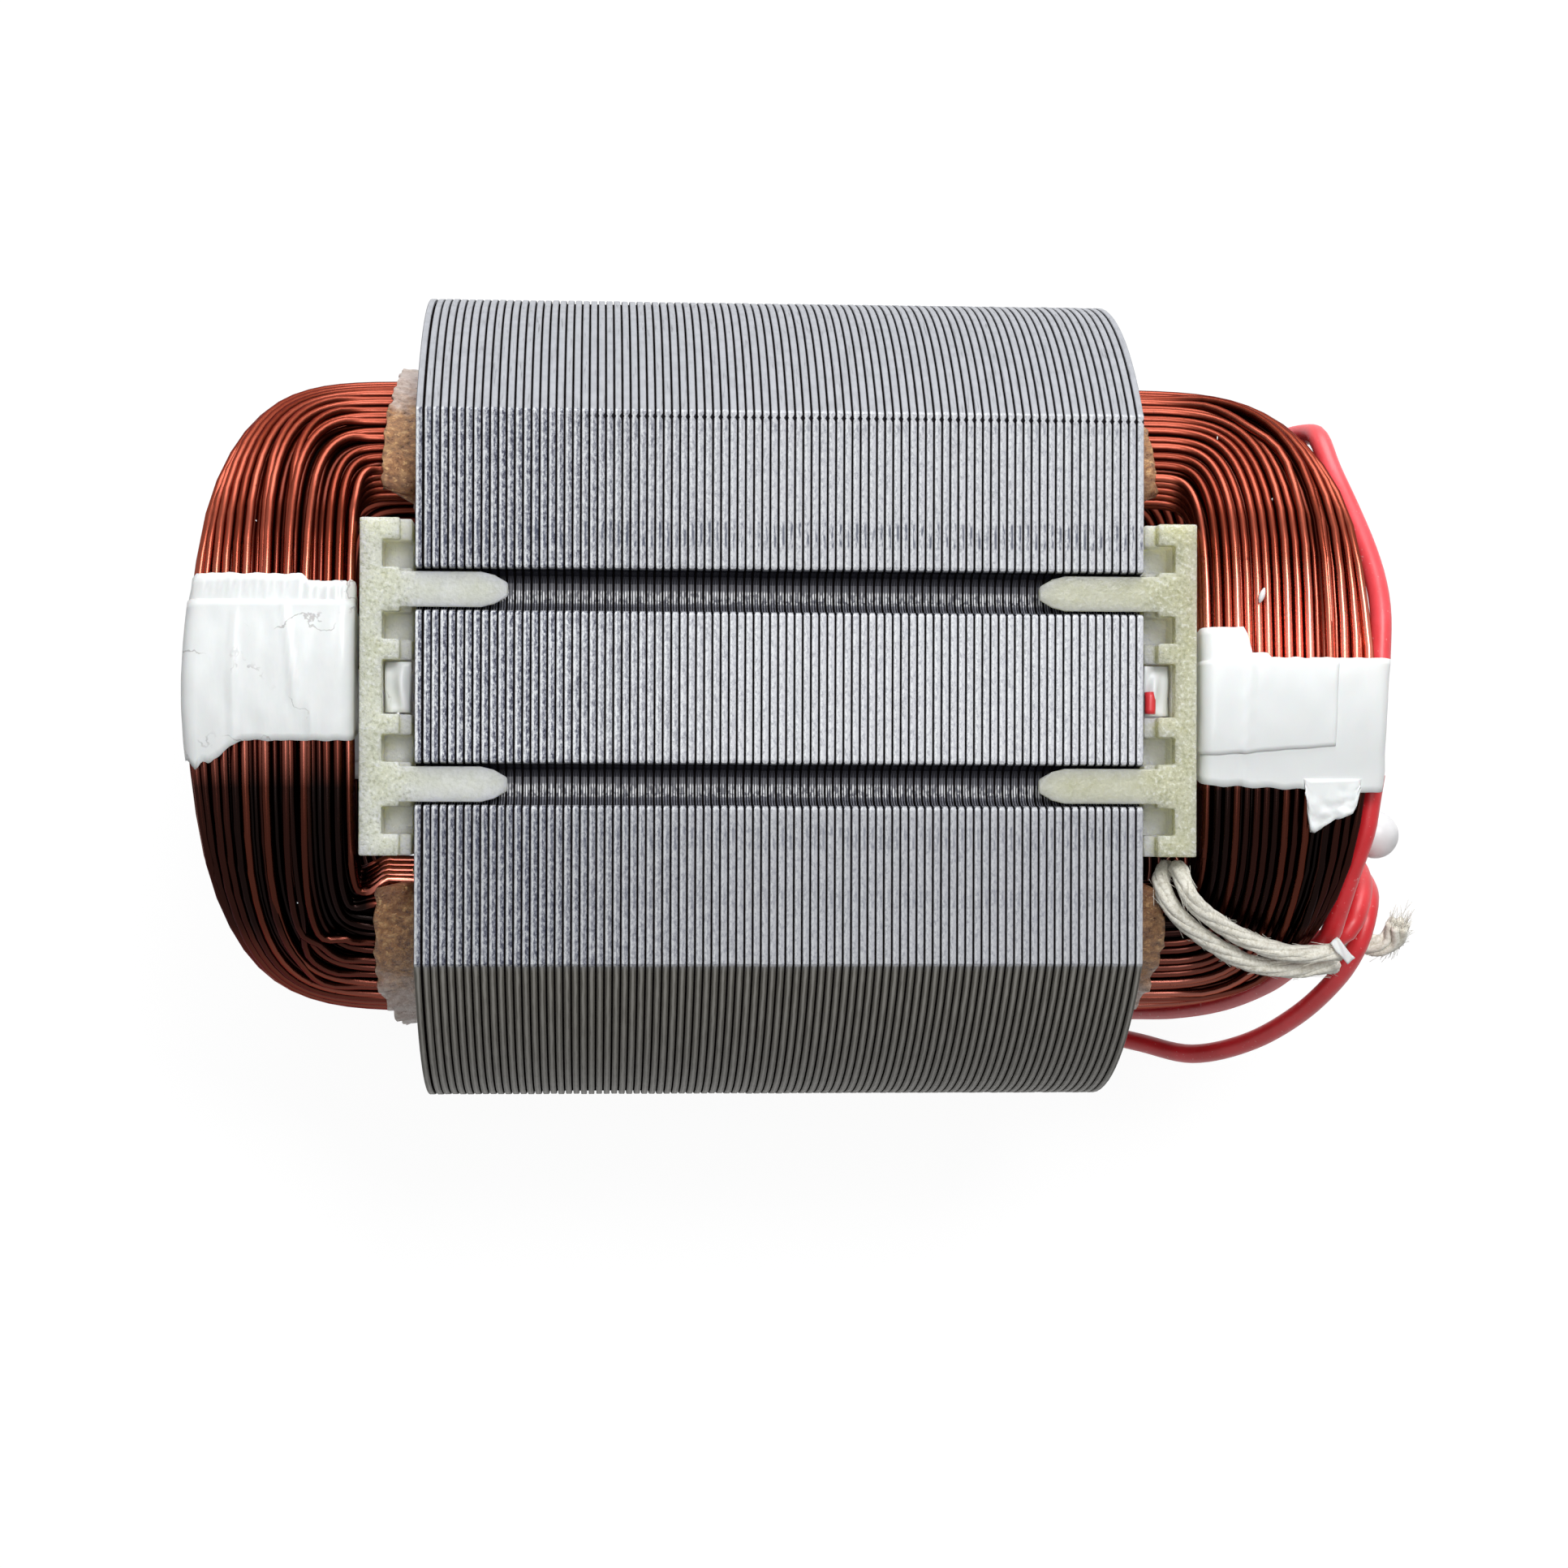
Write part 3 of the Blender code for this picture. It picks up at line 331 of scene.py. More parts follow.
class Skin:
    """Collects vertices, faces and one tone per vertex, and makes a mesh piece of them."""

    def __init__(self):
        self.verts, self.faces, self.tones = [], [], []

    def add(self, verts, faces, tone=0.5):
        first = sum(map(len, self.verts))
        self.verts.append(np.asarray(verts, float).reshape(-1, 3))
        self.faces += [tuple(i + first for i in face) for face in faces]
        self.tones.append(np.full(len(self.verts[-1]), tone))

    def tube(self, points, radius, sides, closed=False, tone=0.5, up=None):
        """A round tube along points. up gives the side that each ring starts from."""
        points = np.asarray([tuple(point) for point in points], float)
        count = len(points)
        closed_run = np.roll(points, -1, 0) - np.roll(points, 1, 0)
        tangent = unit(closed_run if closed else np.gradient(points, axis=0))
        side = unit(np.cross(tangent, turned_frames(tangent) if up is None else up))[:, None, :]
        up = np.cross(side, tangent[:, None, :])
        angles = (np.arange(sides) * 2 * math.pi / sides)[:, None]
        radii = np.broadcast_to(radius, count)[:, None, None]
        faces = quads(count, sides, True, closed)
        if not closed:
            faces += [tuple(range(sides))[::-1], tuple(range((count - 1) * sides, count * sides))]
        self.add(points[:, None, :] + radii * (np.cos(angles) * side + np.sin(angles) * up), faces, tone)

    def sheet(self, grid, thickness, ring=False):
        """A sheet with thickness: the grid, and its copy moved inwards, joined along their edges."""
        rows, columns = grid.shape[:2]
        back = rows * columns
        last = back - columns
        faces = quads(rows, columns, ring)
        faces += flipped(faces, back)
        wide = range(columns if ring else columns - 1)
        border = [((j + 1) % columns, j) for j in wide] + [(last + j, last + (j + 1) % columns) for j in wide]
        if not ring:
            border += [(i * columns, (i + 1) * columns) for i in range(rows - 1)]
            border += [((i + 2) * columns - 1, (i + 1) * columns - 1) for i in range(rows - 1)]
        faces += [(a, b, back + b, back + a) for a, b in border]
        self.add((grid, grid - grid_normals(grid, ring) * thickness), faces)

    def move(self, matrix):
        """Moves all that has been collected so far."""
        matrix = np.array(matrix)
        self.verts = [verts @ matrix[:3, :3].T + matrix[:3, 3] for verts in self.verts]

    def piece(self, name, material, node=None, slot=None, smooth=True):
        """The collected mesh as a piece, which replaces a node of the CAD if one is named."""
        mesh = bpy.data.meshes.new(name)
        mesh.from_pydata(np.concatenate(self.verts).tolist(), [], self.faces)
        attribute = mesh.attributes.new("tone", "FLOAT", "POINT")
        attribute.data.foreach_set("value", np.concatenate(self.tones).astype(np.float32))
        if smooth:
            mesh.shade_smooth()
        item = finished(bpy.data.objects.new(name, mesh), material)
        if node:
            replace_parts(item, node)
        return item


def turned_frames(tangent):
    """Side vectors that turn as little as they can along a line."""
    start = np.array((0, 0, 1)) if abs(tangent[0][2]) < 0.9 else np.array((0, 1, 0))
    ups = []
    for direction in tangent:
        start = start - direction * start.dot(direction)
        start /= np.linalg.norm(start)
        ups.append(start)
    return ups


def grid_normals(grid, ring):
    """Unit normals of a grid of points, away from the grid's middle."""
    along = np.roll(grid, -1, 1) - np.roll(grid, 1, 1) if ring else np.gradient(grid, axis=1)
    normal = unit(np.cross(along, np.gradient(grid, axis=0)))
    return normal if (normal * (grid - grid.mean(axis=(0, 1)))).sum() >= 0 else -normal


def finished(item, material):
    """Links a piece and fixes it to the part, with a material."""
    bpy.context.scene.collection.objects.link(item)
    item.data.materials.clear()
    item.data.materials.append(material)
    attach(item, "root")
    return item


def add_spline(curve, points):
    spline = curve.splines.new("POLY")
    spline.points.add(len(points) - 1)
    for knot, point in zip(spline.points, points):
        knot.co = (*point, 1)
    return spline


def upright(turn):
    """The move of a form from the motor axis's own frame to its place, turned about the axis."""
    return Matrix.Translation(AXIS_PLACE) @ Matrix.Rotation(turn, 4, "X")


# Materials


class Signal:
    """A number in a material. Sums and products with it make math nodes."""

    def __init__(self, look, socket):
        self.look, self.socket = look, socket

    def op(self, operation, other=0):
        return Signal(self.look, self.look.node("Math", {0: self, 1: other}, operation=operation).outputs[0])

    def __add__(self, other):
        return self.op("ADD", other)

    def __sub__(self, other):
        return self.op("SUBTRACT", other)

    def __mul__(self, other):
        return self.op("MULTIPLY", other)

    def __abs__(self):
        return self.op("ABSOLUTE")

    def step(self, low, high):
        """0 below low and 1 above high, or the other way round where low is the larger."""
        made = self.look.node("MapRange", {"Value": self, "From Min": low, "From Max": high}, clamp=True)
        return Signal(self.look, made.outputs[0])

    def ramp(self, *stops):
        """A colour from stops, each a place and three numbers."""
        made = self.look.node("ValToRGB", {0: self})
        elements = made.color_ramp.elements
        while len(elements) < len(stops):
            elements.new(0.5)
        for element, (place, *colour) in zip(elements, stops):
            element.position = place
            element.color = (*colour, 1)
        return made.outputs[0]

    def blend(self, first, second):
        """The first colour where this number is 0, and the second where it is 1."""
        made = self.look.node("Mix", data_type="RGBA")
        for socket, value in zip([s for s in made.inputs if s.enabled], (self, first, second)):
            self.look.put(socket, (*value, 1) if isinstance(value, tuple) else value)
        return next(s for s in made.outputs if s.enabled)


class Nodes:
    """Makes nodes in a tree by kind, with their inputs by name."""

    def __init__(self, tree):
        self.tree = tree

    def node(self, kind, inputs=None, **settings):
        made = self.tree.nodes.new("ShaderNode" + kind)
        for key, value in settings.items():
            setattr(made, key, value)
        for key, value in (inputs or {}).items():
            self.put(made.inputs[key], value)
        return made

    def put(self, socket, value):
        value = value.socket if isinstance(value, Signal) else value
        if isinstance(value, bpy.types.NodeSocket):
            self.tree.links.new(value, socket)
        else:
            socket.default_value = value

    def seen(self):
        """1 for what the camera sees, also in reflections and through glass, and 0 for other light."""
        path = self.node("LightPath")
        seen = Signal(self, path.outputs["Is Camera Ray"])
        for name in ("Is Glossy Ray", "Is Transmission Ray"):
            seen = seen.op("MAXIMUM", path.outputs[name])
        return seen


class Look(Nodes):
    """A Principled material under construction."""

    def __init__(self, name, **constants):
        self.material = bpy.data.materials.new(name)
        self.material.use_nodes = True
        super().__init__(self.material.node_tree)
        self.set(**constants)
        self.place = self.node("TexCoord").outputs["Object"]
        axes = self.node("SeparateXYZ", {0: self.place}).outputs
        self.x, self.y = Signal(self, axes["X"]), Signal(self, axes["Y"])
        self.height = abs(Signal(self, axes["Z"]) - AXIS_PLACE.z)

    def set(self, **values):
        for key, value in values.items():
            self.put(self.tree.nodes["Principled BSDF"].inputs[key.replace("_", " ")], value)

    def noise(self, scale, detail=2, roughness=0.5, stretch=(1, 1, 1)):
        """Noise whose scale is in features per metre, drawn out along axes whose stretch is below 1."""
        place = self.node("Mapping", {"Vector": self.place, "Scale": stretch}).outputs[0]
        values = {"Vector": place, "Scale": scale, "Detail": detail, "Roughness": roughness}
        return Signal(self, self.node("TexNoise", values).outputs["Fac"])

    def finish(self, height=None, distance=0, strength=1, **values):
        """Sets the last inputs and the bumps, and gives the material."""
        if height:
            bump = self.node("Bump", {"Height": height, "Distance": distance, "Strength": strength})
            values["Normal"] = bump.outputs[0]
        self.set(**values)
        return self.material


def steel_look():
    """Sheet edges: grey bars on the arcs, painted darker and browner as shade on the -Y arc, and light bars
    on the flats that turn dark and mottled to the left. Painted shade at the grooves' mouths, inside the
    grooves and in small notches, with painted glints in the grooves.
    """
    look = Look("core_steel", Specular_IOR_Level=0.2)
    x, y = look.x, look.y
    phase = (x + HALF_LENGTH).op("DIVIDE", SHEET_PITCH).op("FRACT")
    aside = abs(phase - 0.5)
    cloud = look.noise(900, 4, 0.6)
    grain = look.noise(6200, 3, 0.7, (1, 0.5, 1))

    bars = cloud.ramp((0.32, 0.31, 0.32, 0.345), (0.62, 0.37, 0.38, 0.41))
    streak = look.noise(5200, 2, 0.6, (1, 0.08, 0.08))
    bars = streak.step(0.6, 0.74).blend(bars, (0.2, 0.205, 0.22))
    bars = (aside.step(0.3, 0.42) * 0.75).blend(bars, (0.03, 0.03, 0.035))
    # Painted shade: the bars turn darker and browner on the -Y arc, the side turned from the lamps.
    painted_shade_bars = (streak * 0.3 + aside).ramp((0.22, 0.3, 0.29, 0.265), (0.36, 0.085, 0.08, 0.068))
    bars = y.step(-20 * MM, -22.5 * MM).blend(bars, painted_shade_bars)

    dark = grain.ramp(
        (0.39, 0.04, 0.042, 0.07), (0.48, 0.17, 0.18, 0.23), (0.56, 0.34, 0.355, 0.4),
        (0.65, 0.64, 0.66, 0.69))
    even = grain.ramp((0.34, 0.38, 0.39, 0.44), (0.45, 0.54, 0.55, 0.59), (0.6, 0.63, 0.64, 0.67))
    dark = (cloud * 0.016 + x).step(0.006, -0.012).blend(even, dark)
    bright = grain.ramp((0.38, 0.42, 0.43, 0.46), (0.56, 0.76, 0.78, 0.8))
    face = abs(phase - 0.27).step(0.2, 0.13).blend(dark, bright)
    shaded = y.step(-9 * MM, -10 * MM) * 0.34 + y.step(9 * MM, 10 * MM) * 0.12
    face = shaded.blend(face, (0.03, 0.034, 0.05))
    face = (aside.step(0.33, 0.42) * 0.85).blend(face, (0.022, 0.026, 0.05))

    rub = look.noise(3900, 2, 0.6, (1, 0.25, 1)).step(0.4, 0.56) * abs(phase - 0.6).step(0.2, 0.1)
    for middle, half, depth in ((12.1, 1, 0.8), (-11.9, 0.9, 0.45), (-16.7, 0.7, 0.3), (20.6, 0.3, 0.4)):
        band = abs(y - middle * MM).step((half + 0.12) * MM, (half - 0.12) * MM) * depth
        face = (band * rub).blend(face, (0.05, 0.06, 0.1))
    # Painted shade: small notches along the flats' upper edges are drawn near black.
    notch_shade = abs((phase + 0.57).op("FRACT") - 0.5) * (1 / 0.32) + abs(y - 21.4 * MM) * (1 / (0.3 * MM))
    notch_shade = notch_shade.step(1.1, 0.9) * x.step(-18 * MM, -14 * MM)
    face = notch_shade.blend(face, (0.008, 0.008, 0.014))

    signed = y - y.op("SIGN") * GROOVE_OFFSET
    across = abs(signed)
    # Painted shade along the grooves' rounded mouths.
    mouth = across.step(GROOVE_WIDTH / 2 + 0.32 * MM, GROOVE_WIDTH / 2 - 0.15 * MM).op("POWER", 2)
    face = (mouth + (aside * 2.3).op("POWER", 2)).step(0.95, 1.15).blend(face, (0.01, 0.012, 0.03))
    colour = look.height.step(FLAT_DISTANCE - 0.25 * MM, FLAT_DISTANCE - 0.12 * MM).blend(bars, face)

    inside = across.step(GROOVE_WIDTH * 0.52, GROOVE_WIDTH * 0.49)
    groove = inside * look.height.step(FLAT_DISTANCE - 0.15 * MM, FLAT_DISTANCE - 0.7 * MM)
    # Painted shade inside the grooves: near black, with lighter sheet edges towards the -Y side of each
    # groove and painted glints near its middle.
    thin = abs((phase * 3).op("FRACT") - 0.5).step(0.34, 0.16)
    groove_shade_and_glints = (thin * signed.step(1.1 * MM, -0.2 * MM)).blend((0.012, 0.012, 0.018), (0.2, 0.205, 0.24))
    painted_glint = look.noise(4200, 2, 0.5, (1, 0.4, 1)).step(0.42, 0.54) * thin
    groove_shade_and_glints = (painted_glint * abs(signed + 0.45 * MM).step(0.6 * MM, 0.4 * MM)).blend(groove_shade_and_glints, (0.85, 0.86, 0.89))
    groove_shade_and_glints = aside.step(0.3, 0.4).blend(groove_shade_and_glints, (0.004, 0.004, 0.007))
    return look.finish(
        grain, 0.03 * MM, 0.35, Base_Color=groove.blend(colour, groove_shade_and_glints), Roughness=groove * -0.25 + 0.5)


def copper_look():
    """Enamelled wire with light and shade painted into its colour: brighter towards +Y with a painted
    highlight above the tapes, and near black towards -Y. Each wire has its own tone.
    """
    look = Look(
        "copper_wire", Metallic=1, Specular_Tint=(0.5, 0.2, 0.1, 1), Coat_Weight=0.12, Coat_Roughness=0.15)
    x, y = look.x, look.y
    tone = Signal(look, look.node("Attribute", attribute_name="tone").outputs["Fac"])
    # Painted light and shade: the wires take a near-black shaded copy of the copper towards -Y and a lighter
    # copy towards +Y, as the lamps stand at +Y.
    dark = tone.ramp(
        (0, 0.002, 0.0005, 0.0003), (0.6, 0.009, 0.0018, 0.0009), (0.85, 0.026, 0.005, 0.0025),
        (1, 0.075, 0.016, 0.008))
    painted_lit_copper = tone.ramp(
        (0, 0.04, 0.006, 0.003), (0.4, 0.16, 0.027, 0.013), (0.7, 0.25, 0.05, 0.028), (1, 0.32, 0.072, 0.043))
    # Painted highlight: a bright pinkish band just above the tapes, weaker towards the left end.
    glow = tone.ramp((0, 0.14, 0.03, 0.018), (0.5, 0.58, 0.15, 0.1), (1, 0.95, 0.33, 0.25))
    painted_lit_copper = (y.step(11 * MM, 4 * MM) * x.step(-75 * MM, 20 * MM)).blend(painted_lit_copper, glow)
    # Less painted light towards the top of the turns.
    painted_lit_copper = (y.step(12 * MM, 20 * MM) * 0.25).blend(painted_lit_copper, (0.05, 0.01, 0.005))
    # Painted light on a patch of inner wires low on the left and on the lower rim.
    below = y.step(-17.8 * MM, -17 * MM) * y.step(-13 * MM, -13.8 * MM) * x.step(-20 * MM, -24 * MM)
    below = below * x.step(-HALF_LENGTH - 4.2 * MM, -HALF_LENGTH - 3 * MM)
    rim = y.step(-19 * MM, -27 * MM) * 0.3
    colour = y.step(-8 * MM, 1 * MM).op("MAXIMUM", below.op("MAXIMUM", rim)).blend(dark, painted_lit_copper)
    flecks = look.noise(1900, 3, 0.6)
    return look.finish(
        look.noise(1100), 0.02 * MM, 0.2,
        Base_Color=flecks.step(0.66, 0.84).blend(colour, (0.012, 0.003, 0.0015)),
        Roughness=flecks * 0.12 + (y.step(10 * MM, 18 * MM) * 0.12 + 0.2))


def shade_look():
    """Near-black painted shade for what lies in the dark behind sheets and wires."""
    look = Look("deep_shade", Roughness=1, Specular_IOR_Level=0)
    colour = look.noise(900).ramp((0.3, 0.004, 0.003, 0.003), (0.7, 0.009, 0.007, 0.007))
    return look.finish(Base_Color=colour)


def nylon_look():
    """Translucent moulded nylon, with a coarse skin on the walls whose sparkle and pit shade are painted,
    smooth legs, and its pockets' floors painted pale as light through the nylon.
    """
    look = Look(
        "nylon", Roughness=0.27, Specular_IOR_Level=0.35, Subsurface_Weight=0.9, Subsurface_Scale=0.005,
        Subsurface_Radius=(1, 0.95, 0.6))
    cloud = look.noise(420, 3, 0.6)
    left = cloud.ramp((0.35, 0.58, 0.6, 0.47), (0.65, 0.68, 0.7, 0.58))
    right = cloud.ramp((0.35, 0.49, 0.49, 0.33), (0.65, 0.58, 0.58, 0.42))
    colour = look.x.step(-5 * MM, 5 * MM).blend(left, right)
    pits = look.noise(3400, 3, 0.6)
    coarse = abs(look.x).step(HALF_LENGTH - 0.5 * MM, HALF_LENGTH + 0.8 * MM)
    amount = coarse * 0.42 + 0.14
    # Painted sparkle and painted shade in pits on the coarse skin.
    colour = (pits.step(0.54, 0.66) * amount).blend(colour, (0.9, 0.92, 0.8))
    colour = (pits.step(0.46, 0.34) * amount).blend(colour, (0.3, 0.31, 0.2))
    # Painted light: the pockets' floors on the walls are painted pale, for the light that the nylon lets
    # through.
    painted_pocket_light = look.height.step(FLAT_DISTANCE - 1.6 * MM, FLAT_DISTANCE - 1.85 * MM) * coarse
    return look.finish(
        look.noise(1300) + pits, 0.22 * MM, coarse * 0.75 + 0.25,
        Base_Color=painted_pocket_light.blend(colour, (0.93, 0.93, 0.74)))


def paper_look():
    """Resin-soaked fish paper with painted glints, and pale torn fibres towards its outer rim."""
    look = Look("liner_paper", Specular_IOR_Level=0.5, Subsurface_Weight=0.15, Subsurface_Scale=0.0008)
    fibres = look.noise(1500, 6, 0.75)
    patches = look.noise(600, 3, 0.6)
    side = abs(look.y)
    colour = fibres.ramp(
        (0.36, 0.12, 0.045, 0.014), (0.48, 0.32, 0.14, 0.05), (0.58, 0.52, 0.27, 0.11),
        (0.68, 0.72, 0.46, 0.24))
    pale = fibres.ramp((0.36, 0.42, 0.27, 0.21), (0.62, 0.8, 0.68, 0.62))
    colour = ((patches * 0.004 + side).step(0.0205, 0.0175) * 0.75).blend(colour, (0.1, 0.03, 0.012))
    # Painted glints: light golden-orange flecks.
    colour = (look.noise(1900, 2, 0.6).step(0.6, 0.68) * 0.6).blend(colour, (0.85, 0.52, 0.24))
    colour = (patches * 0.007 + side).step(0.0262, 0.0288).blend(colour, pale)
    return look.finish(fibres, 0.3 * MM, 0.9, Base_Color=colour, Roughness=fibres * 0.4 + 0.12)


def tape_look():
    """Glossy white film with fine cracks and soft creases."""
    look = Look(
        "white_tape", Roughness=0.3, Specular_IOR_Level=0.3, Subsurface_Weight=0.1, Subsurface_Scale=0.0006)
    colour = look.noise(260, 3, 0.55).ramp((0.3, 0.68, 0.685, 0.685), (0.7, 0.76, 0.765, 0.765))
    pale = look.y.step(0, -8 * MM).op("MAXIMUM", look.x.step(0, 1 * MM) * 0.7)
    shift = look.node("TexNoise", {"Vector": look.place, "Scale": 420, "Detail": 4}).outputs["Color"]
    shift = look.node("VectorMath", {0: shift, "Scale": 0.006}, operation="SCALE").outputs[0]
    warped = look.node("VectorMath", {0: look.place, 1: shift}, operation="ADD").outputs[0]
    cells = look.node("TexVoronoi", {"Vector": warped, "Scale": 130}, feature="DISTANCE_TO_EDGE")
    crack = Signal(look, cells.outputs["Distance"]).step(0.016, 0.005)
    crack = crack * look.noise(260, 2).step(0.5, 0.58) * look.x.step(0, -1 * MM) * 0.6
    return look.finish(
        look.noise(700, 3, 0.5, (1, 0.35, 1)), 0.1 * MM, 0.35,
        Base_Color=crack.blend(pale.blend(colour, (0.8, 0.8, 0.8)), (0.3, 0.28, 0.28)))


def insulation_look():
    look = Look(
        "red_insulation", Roughness=0.4, Specular_IOR_Level=0.6, Subsurface_Weight=0.15,
        Subsurface_Scale=0.0008, Subsurface_Radius=(1, 0.2, 0.2))
    cloud = look.noise(350, 3, 0.5)
    # Painted soft highlight: the insulation is lighter and pinker towards +Y, and a deeper red towards -Y.
    above = cloud.ramp((0.3, 0.74, 0.055, 0.064), (0.7, 0.84, 0.085, 0.105))
    below = cloud.ramp((0.3, 0.58, 0.012, 0.018), (0.7, 0.72, 0.026, 0.036))
    colour = look.y.step(-8 * MM, 6 * MM).blend(below, above)
    dust = look.noise(2600, 3, 0.6).step(0.66, 0.72) * 0.5
    return look.finish(look.noise(1300), 0.05 * MM, 0.35, Base_Color=dust.blend(colour, (0.8, 0.45, 0.45)))


def tin_look():
    look = Look("tinned_wire", Metallic=1)
    cloud = look.noise(3000, 2)
    return look.finish(
        Base_Color=cloud.ramp((0.3, 0.5, 0.5, 0.49), (0.7, 0.74, 0.74, 0.73)), Roughness=cloud * 0.2 + 0.2)


def cotton_look():
    look = Look("cotton_lacing", Roughness=0.85, Sheen_Weight=0.4, Sheen_Roughness=0.5)
    fibres = look.noise(3200, 4, 0.7)
    return look.finish(
        fibres, 0.1 * MM, 0.7, Base_Color=fibres.ramp((0.32, 0.6, 0.56, 0.45), (0.58, 0.9, 0.88, 0.79)))


def sleeve_look():
    look = Look(
        "white_sleeve", Roughness=0.35, Subsurface_Weight=0.6, Subsurface_Scale=0.002,
        Subsurface_Radius=(1, 1, 1))
    cloud = look.noise(420, 2)
    colour = cloud.ramp((0.3, 0.66, 0.66, 0.67), (0.7, 0.78, 0.78, 0.79))
    return look.finish(cloud, 0.2 * MM, 0.4, Base_Color=colour)


STEEL, COPPER, SHADE, NYLON, PAPER = steel_look(), copper_look(), shade_look(), nylon_look(), paper_look()
TAPE, INSULATION, TIN = tape_look(), insulation_look(), tin_look()
COTTON, SLEEVE = cotton_look(), sleeve_look()


# Core pieces


def sheet_mesh(outline, opening, thickness):
    """One punched sheet as a closed solid with chamfered edges, centred on the axis, across X."""
    curve = bpy.data.curves.new("sheet", "CURVE")
    curve.fill_mode = "BOTH"
    curve.extrude = thickness / 2 - SHEET_CHAMFER
    curve.bevel_depth = SHEET_CHAMFER
    curve.bevel_resolution = 0
    curve.dimensions = "2D"
    curve.offset = -SHEET_CHAMFER
    for points in (outline, opening):
        add_spline(curve, [(across, up, 0) for across, up in points]).use_cyclic_u = True
    helper = bpy.data.objects.new("sheet", curve)
    bpy.context.scene.collection.objects.link(helper)
    mesh = bpy.data.meshes.new_from_object(helper.evaluated_get(bpy.context.evaluated_depsgraph_get()))
    bpy.data.objects.remove(helper)
    mesh.transform(Matrix(((0, 0, 1, 0), (1, 0, 0, 0), (0, 1, 0, 0), (0, 0, 0, 1))))
    return mesh


def build_core():
    """All sheets in one piece, each a solid of its own, with a slimmer near-black solid behind their gaps as
    painted shade.
    """
    draw = random.Random(4)
    bm = bmesh.new()
    bm.from_mesh(sheet_mesh(core_outline(), opening_outline(), SHEET_PITCH - SHEET_GAP))
    bmesh.ops.remove_doubles(bm, verts=bm.verts, dist=0.002 * MM)
    bmesh.ops.recalc_face_normals(bm, faces=bm.faces)
    bm.verts.index_update()
    verts = np.array([v.co for v in bm.verts])
    faces = [tuple(v.index for v in face.verts) for face in bm.faces]
    bm.free()
    skin = Skin()
    for i in range(SHEET_COUNT):
        middle = -HALF_LENGTH + SHEET_PITCH * (i + 0.5)
        if i < 2:
            middle += FIRST_SHEET_GAP * (i - 0.5)
        shift = (middle, draw.gauss(0, SHEET_JITTER), AXIS_PLACE.z - abs(draw.gauss(0, SHEET_JITTER)))
        skin.add(verts + np.array(shift), faces)
    skin.piece("sheet_stack", STEEL, "lamination_stack", smooth=False)

    # The slimmer solid behind the gaps, in the near-black painted shade.
    outline = inset(core_outline(), CORE_FILL_INSET)
    opening = inset(opening_outline(), -CORE_FILL_INSET)
    filling = sheet_mesh(outline, opening, 2 * HALF_LENGTH - SHEET_PITCH)
    filling.transform(Matrix.Translation(AXIS_PLACE))
    finished(bpy.data.objects.new("sheet_stack_painted_shade", filling), SHADE)


# Coil pieces


def winding_point(end, theta, across, depth):
    """A point of the upper coil: theta runs round its end turn, across from its inner to its outer wire."""
    overhang = mix(INNER_OVERHANG, OUTER_OVERHANG[end], across)
    half_angle = mix(INNER_ANGLE, OUTER_ANGLE, across)
    power = 2 / mix(INNER_POWER, OUTER_POWER[end], across)
    x = end * (HALF_LENGTH + overhang * abs(math.cos(theta)) ** power)
    angle = math.copysign(half_angle * abs(math.sin(theta)) ** power, math.sin(theta))
    rise = ease(TURN_RISE_ANGLE, TURN_FLAT_ANGLE, abs(angle))
    slot = mix(SLOT_LOW_RADIUS, SLOT_HIGH_RADIUS, depth)
    turn = mix(TURN_LOW_RADIUS, TURN_HIGH_RADIUS, depth)
    return (x, *polar(mix(slot, turn, rise), angle)), angle


def turn_angles():
    """Both end turns' angles, in the order in which a wire runs through them."""
    return [(end, end * math.pi * (share - 0.5)) for end in (1, -1) for share in shares(WIRE_STEPS)]


def rounded_rectangle(width, height, radius, count):
    """Evenly spaced points round a rounded rectangle, from the middle of a corner."""
    straights = (width - 2 * radius, height - 2 * radius)
    quarter = math.pi * radius / 2
    total = 2 * sum(straights) + 4 * quarter
    points = []
    for i in range(count):
        left = total * (i + 0.5) / count
        turn = 0
        while left > quarter + straights[turn % 2]:
            left -= quarter + straights[turn % 2]
            turn += 1
        side_x, side_y = ((1, 1), (-1, 1), (-1, -1), (1, -1))[turn]
        centre = Vector((side_x * straights[0] / 2, side_y * straights[1] / 2))
        angle = math.pi / 2 * turn + min(left, quarter) / radius
        away = Vector((math.cos(angle), math.sin(angle)))
        points.append(centre + radius * away + max(0, left - quarter) * Vector((-away.y, away.x)))
    return points


def sway(draw, size):
    """A slow random curve of theta and of the place across the bundle, so that neighbours can lie alike."""
    waves = [(draw.gauss(0, size), draw.uniform(0, 2 * math.pi), k) for k in (1, 2, 3, 5)]
    return lambda theta, across: sum(
        a * math.sin(k * theta + phase + 2.5 * across) / k for a, phase, k in waves)


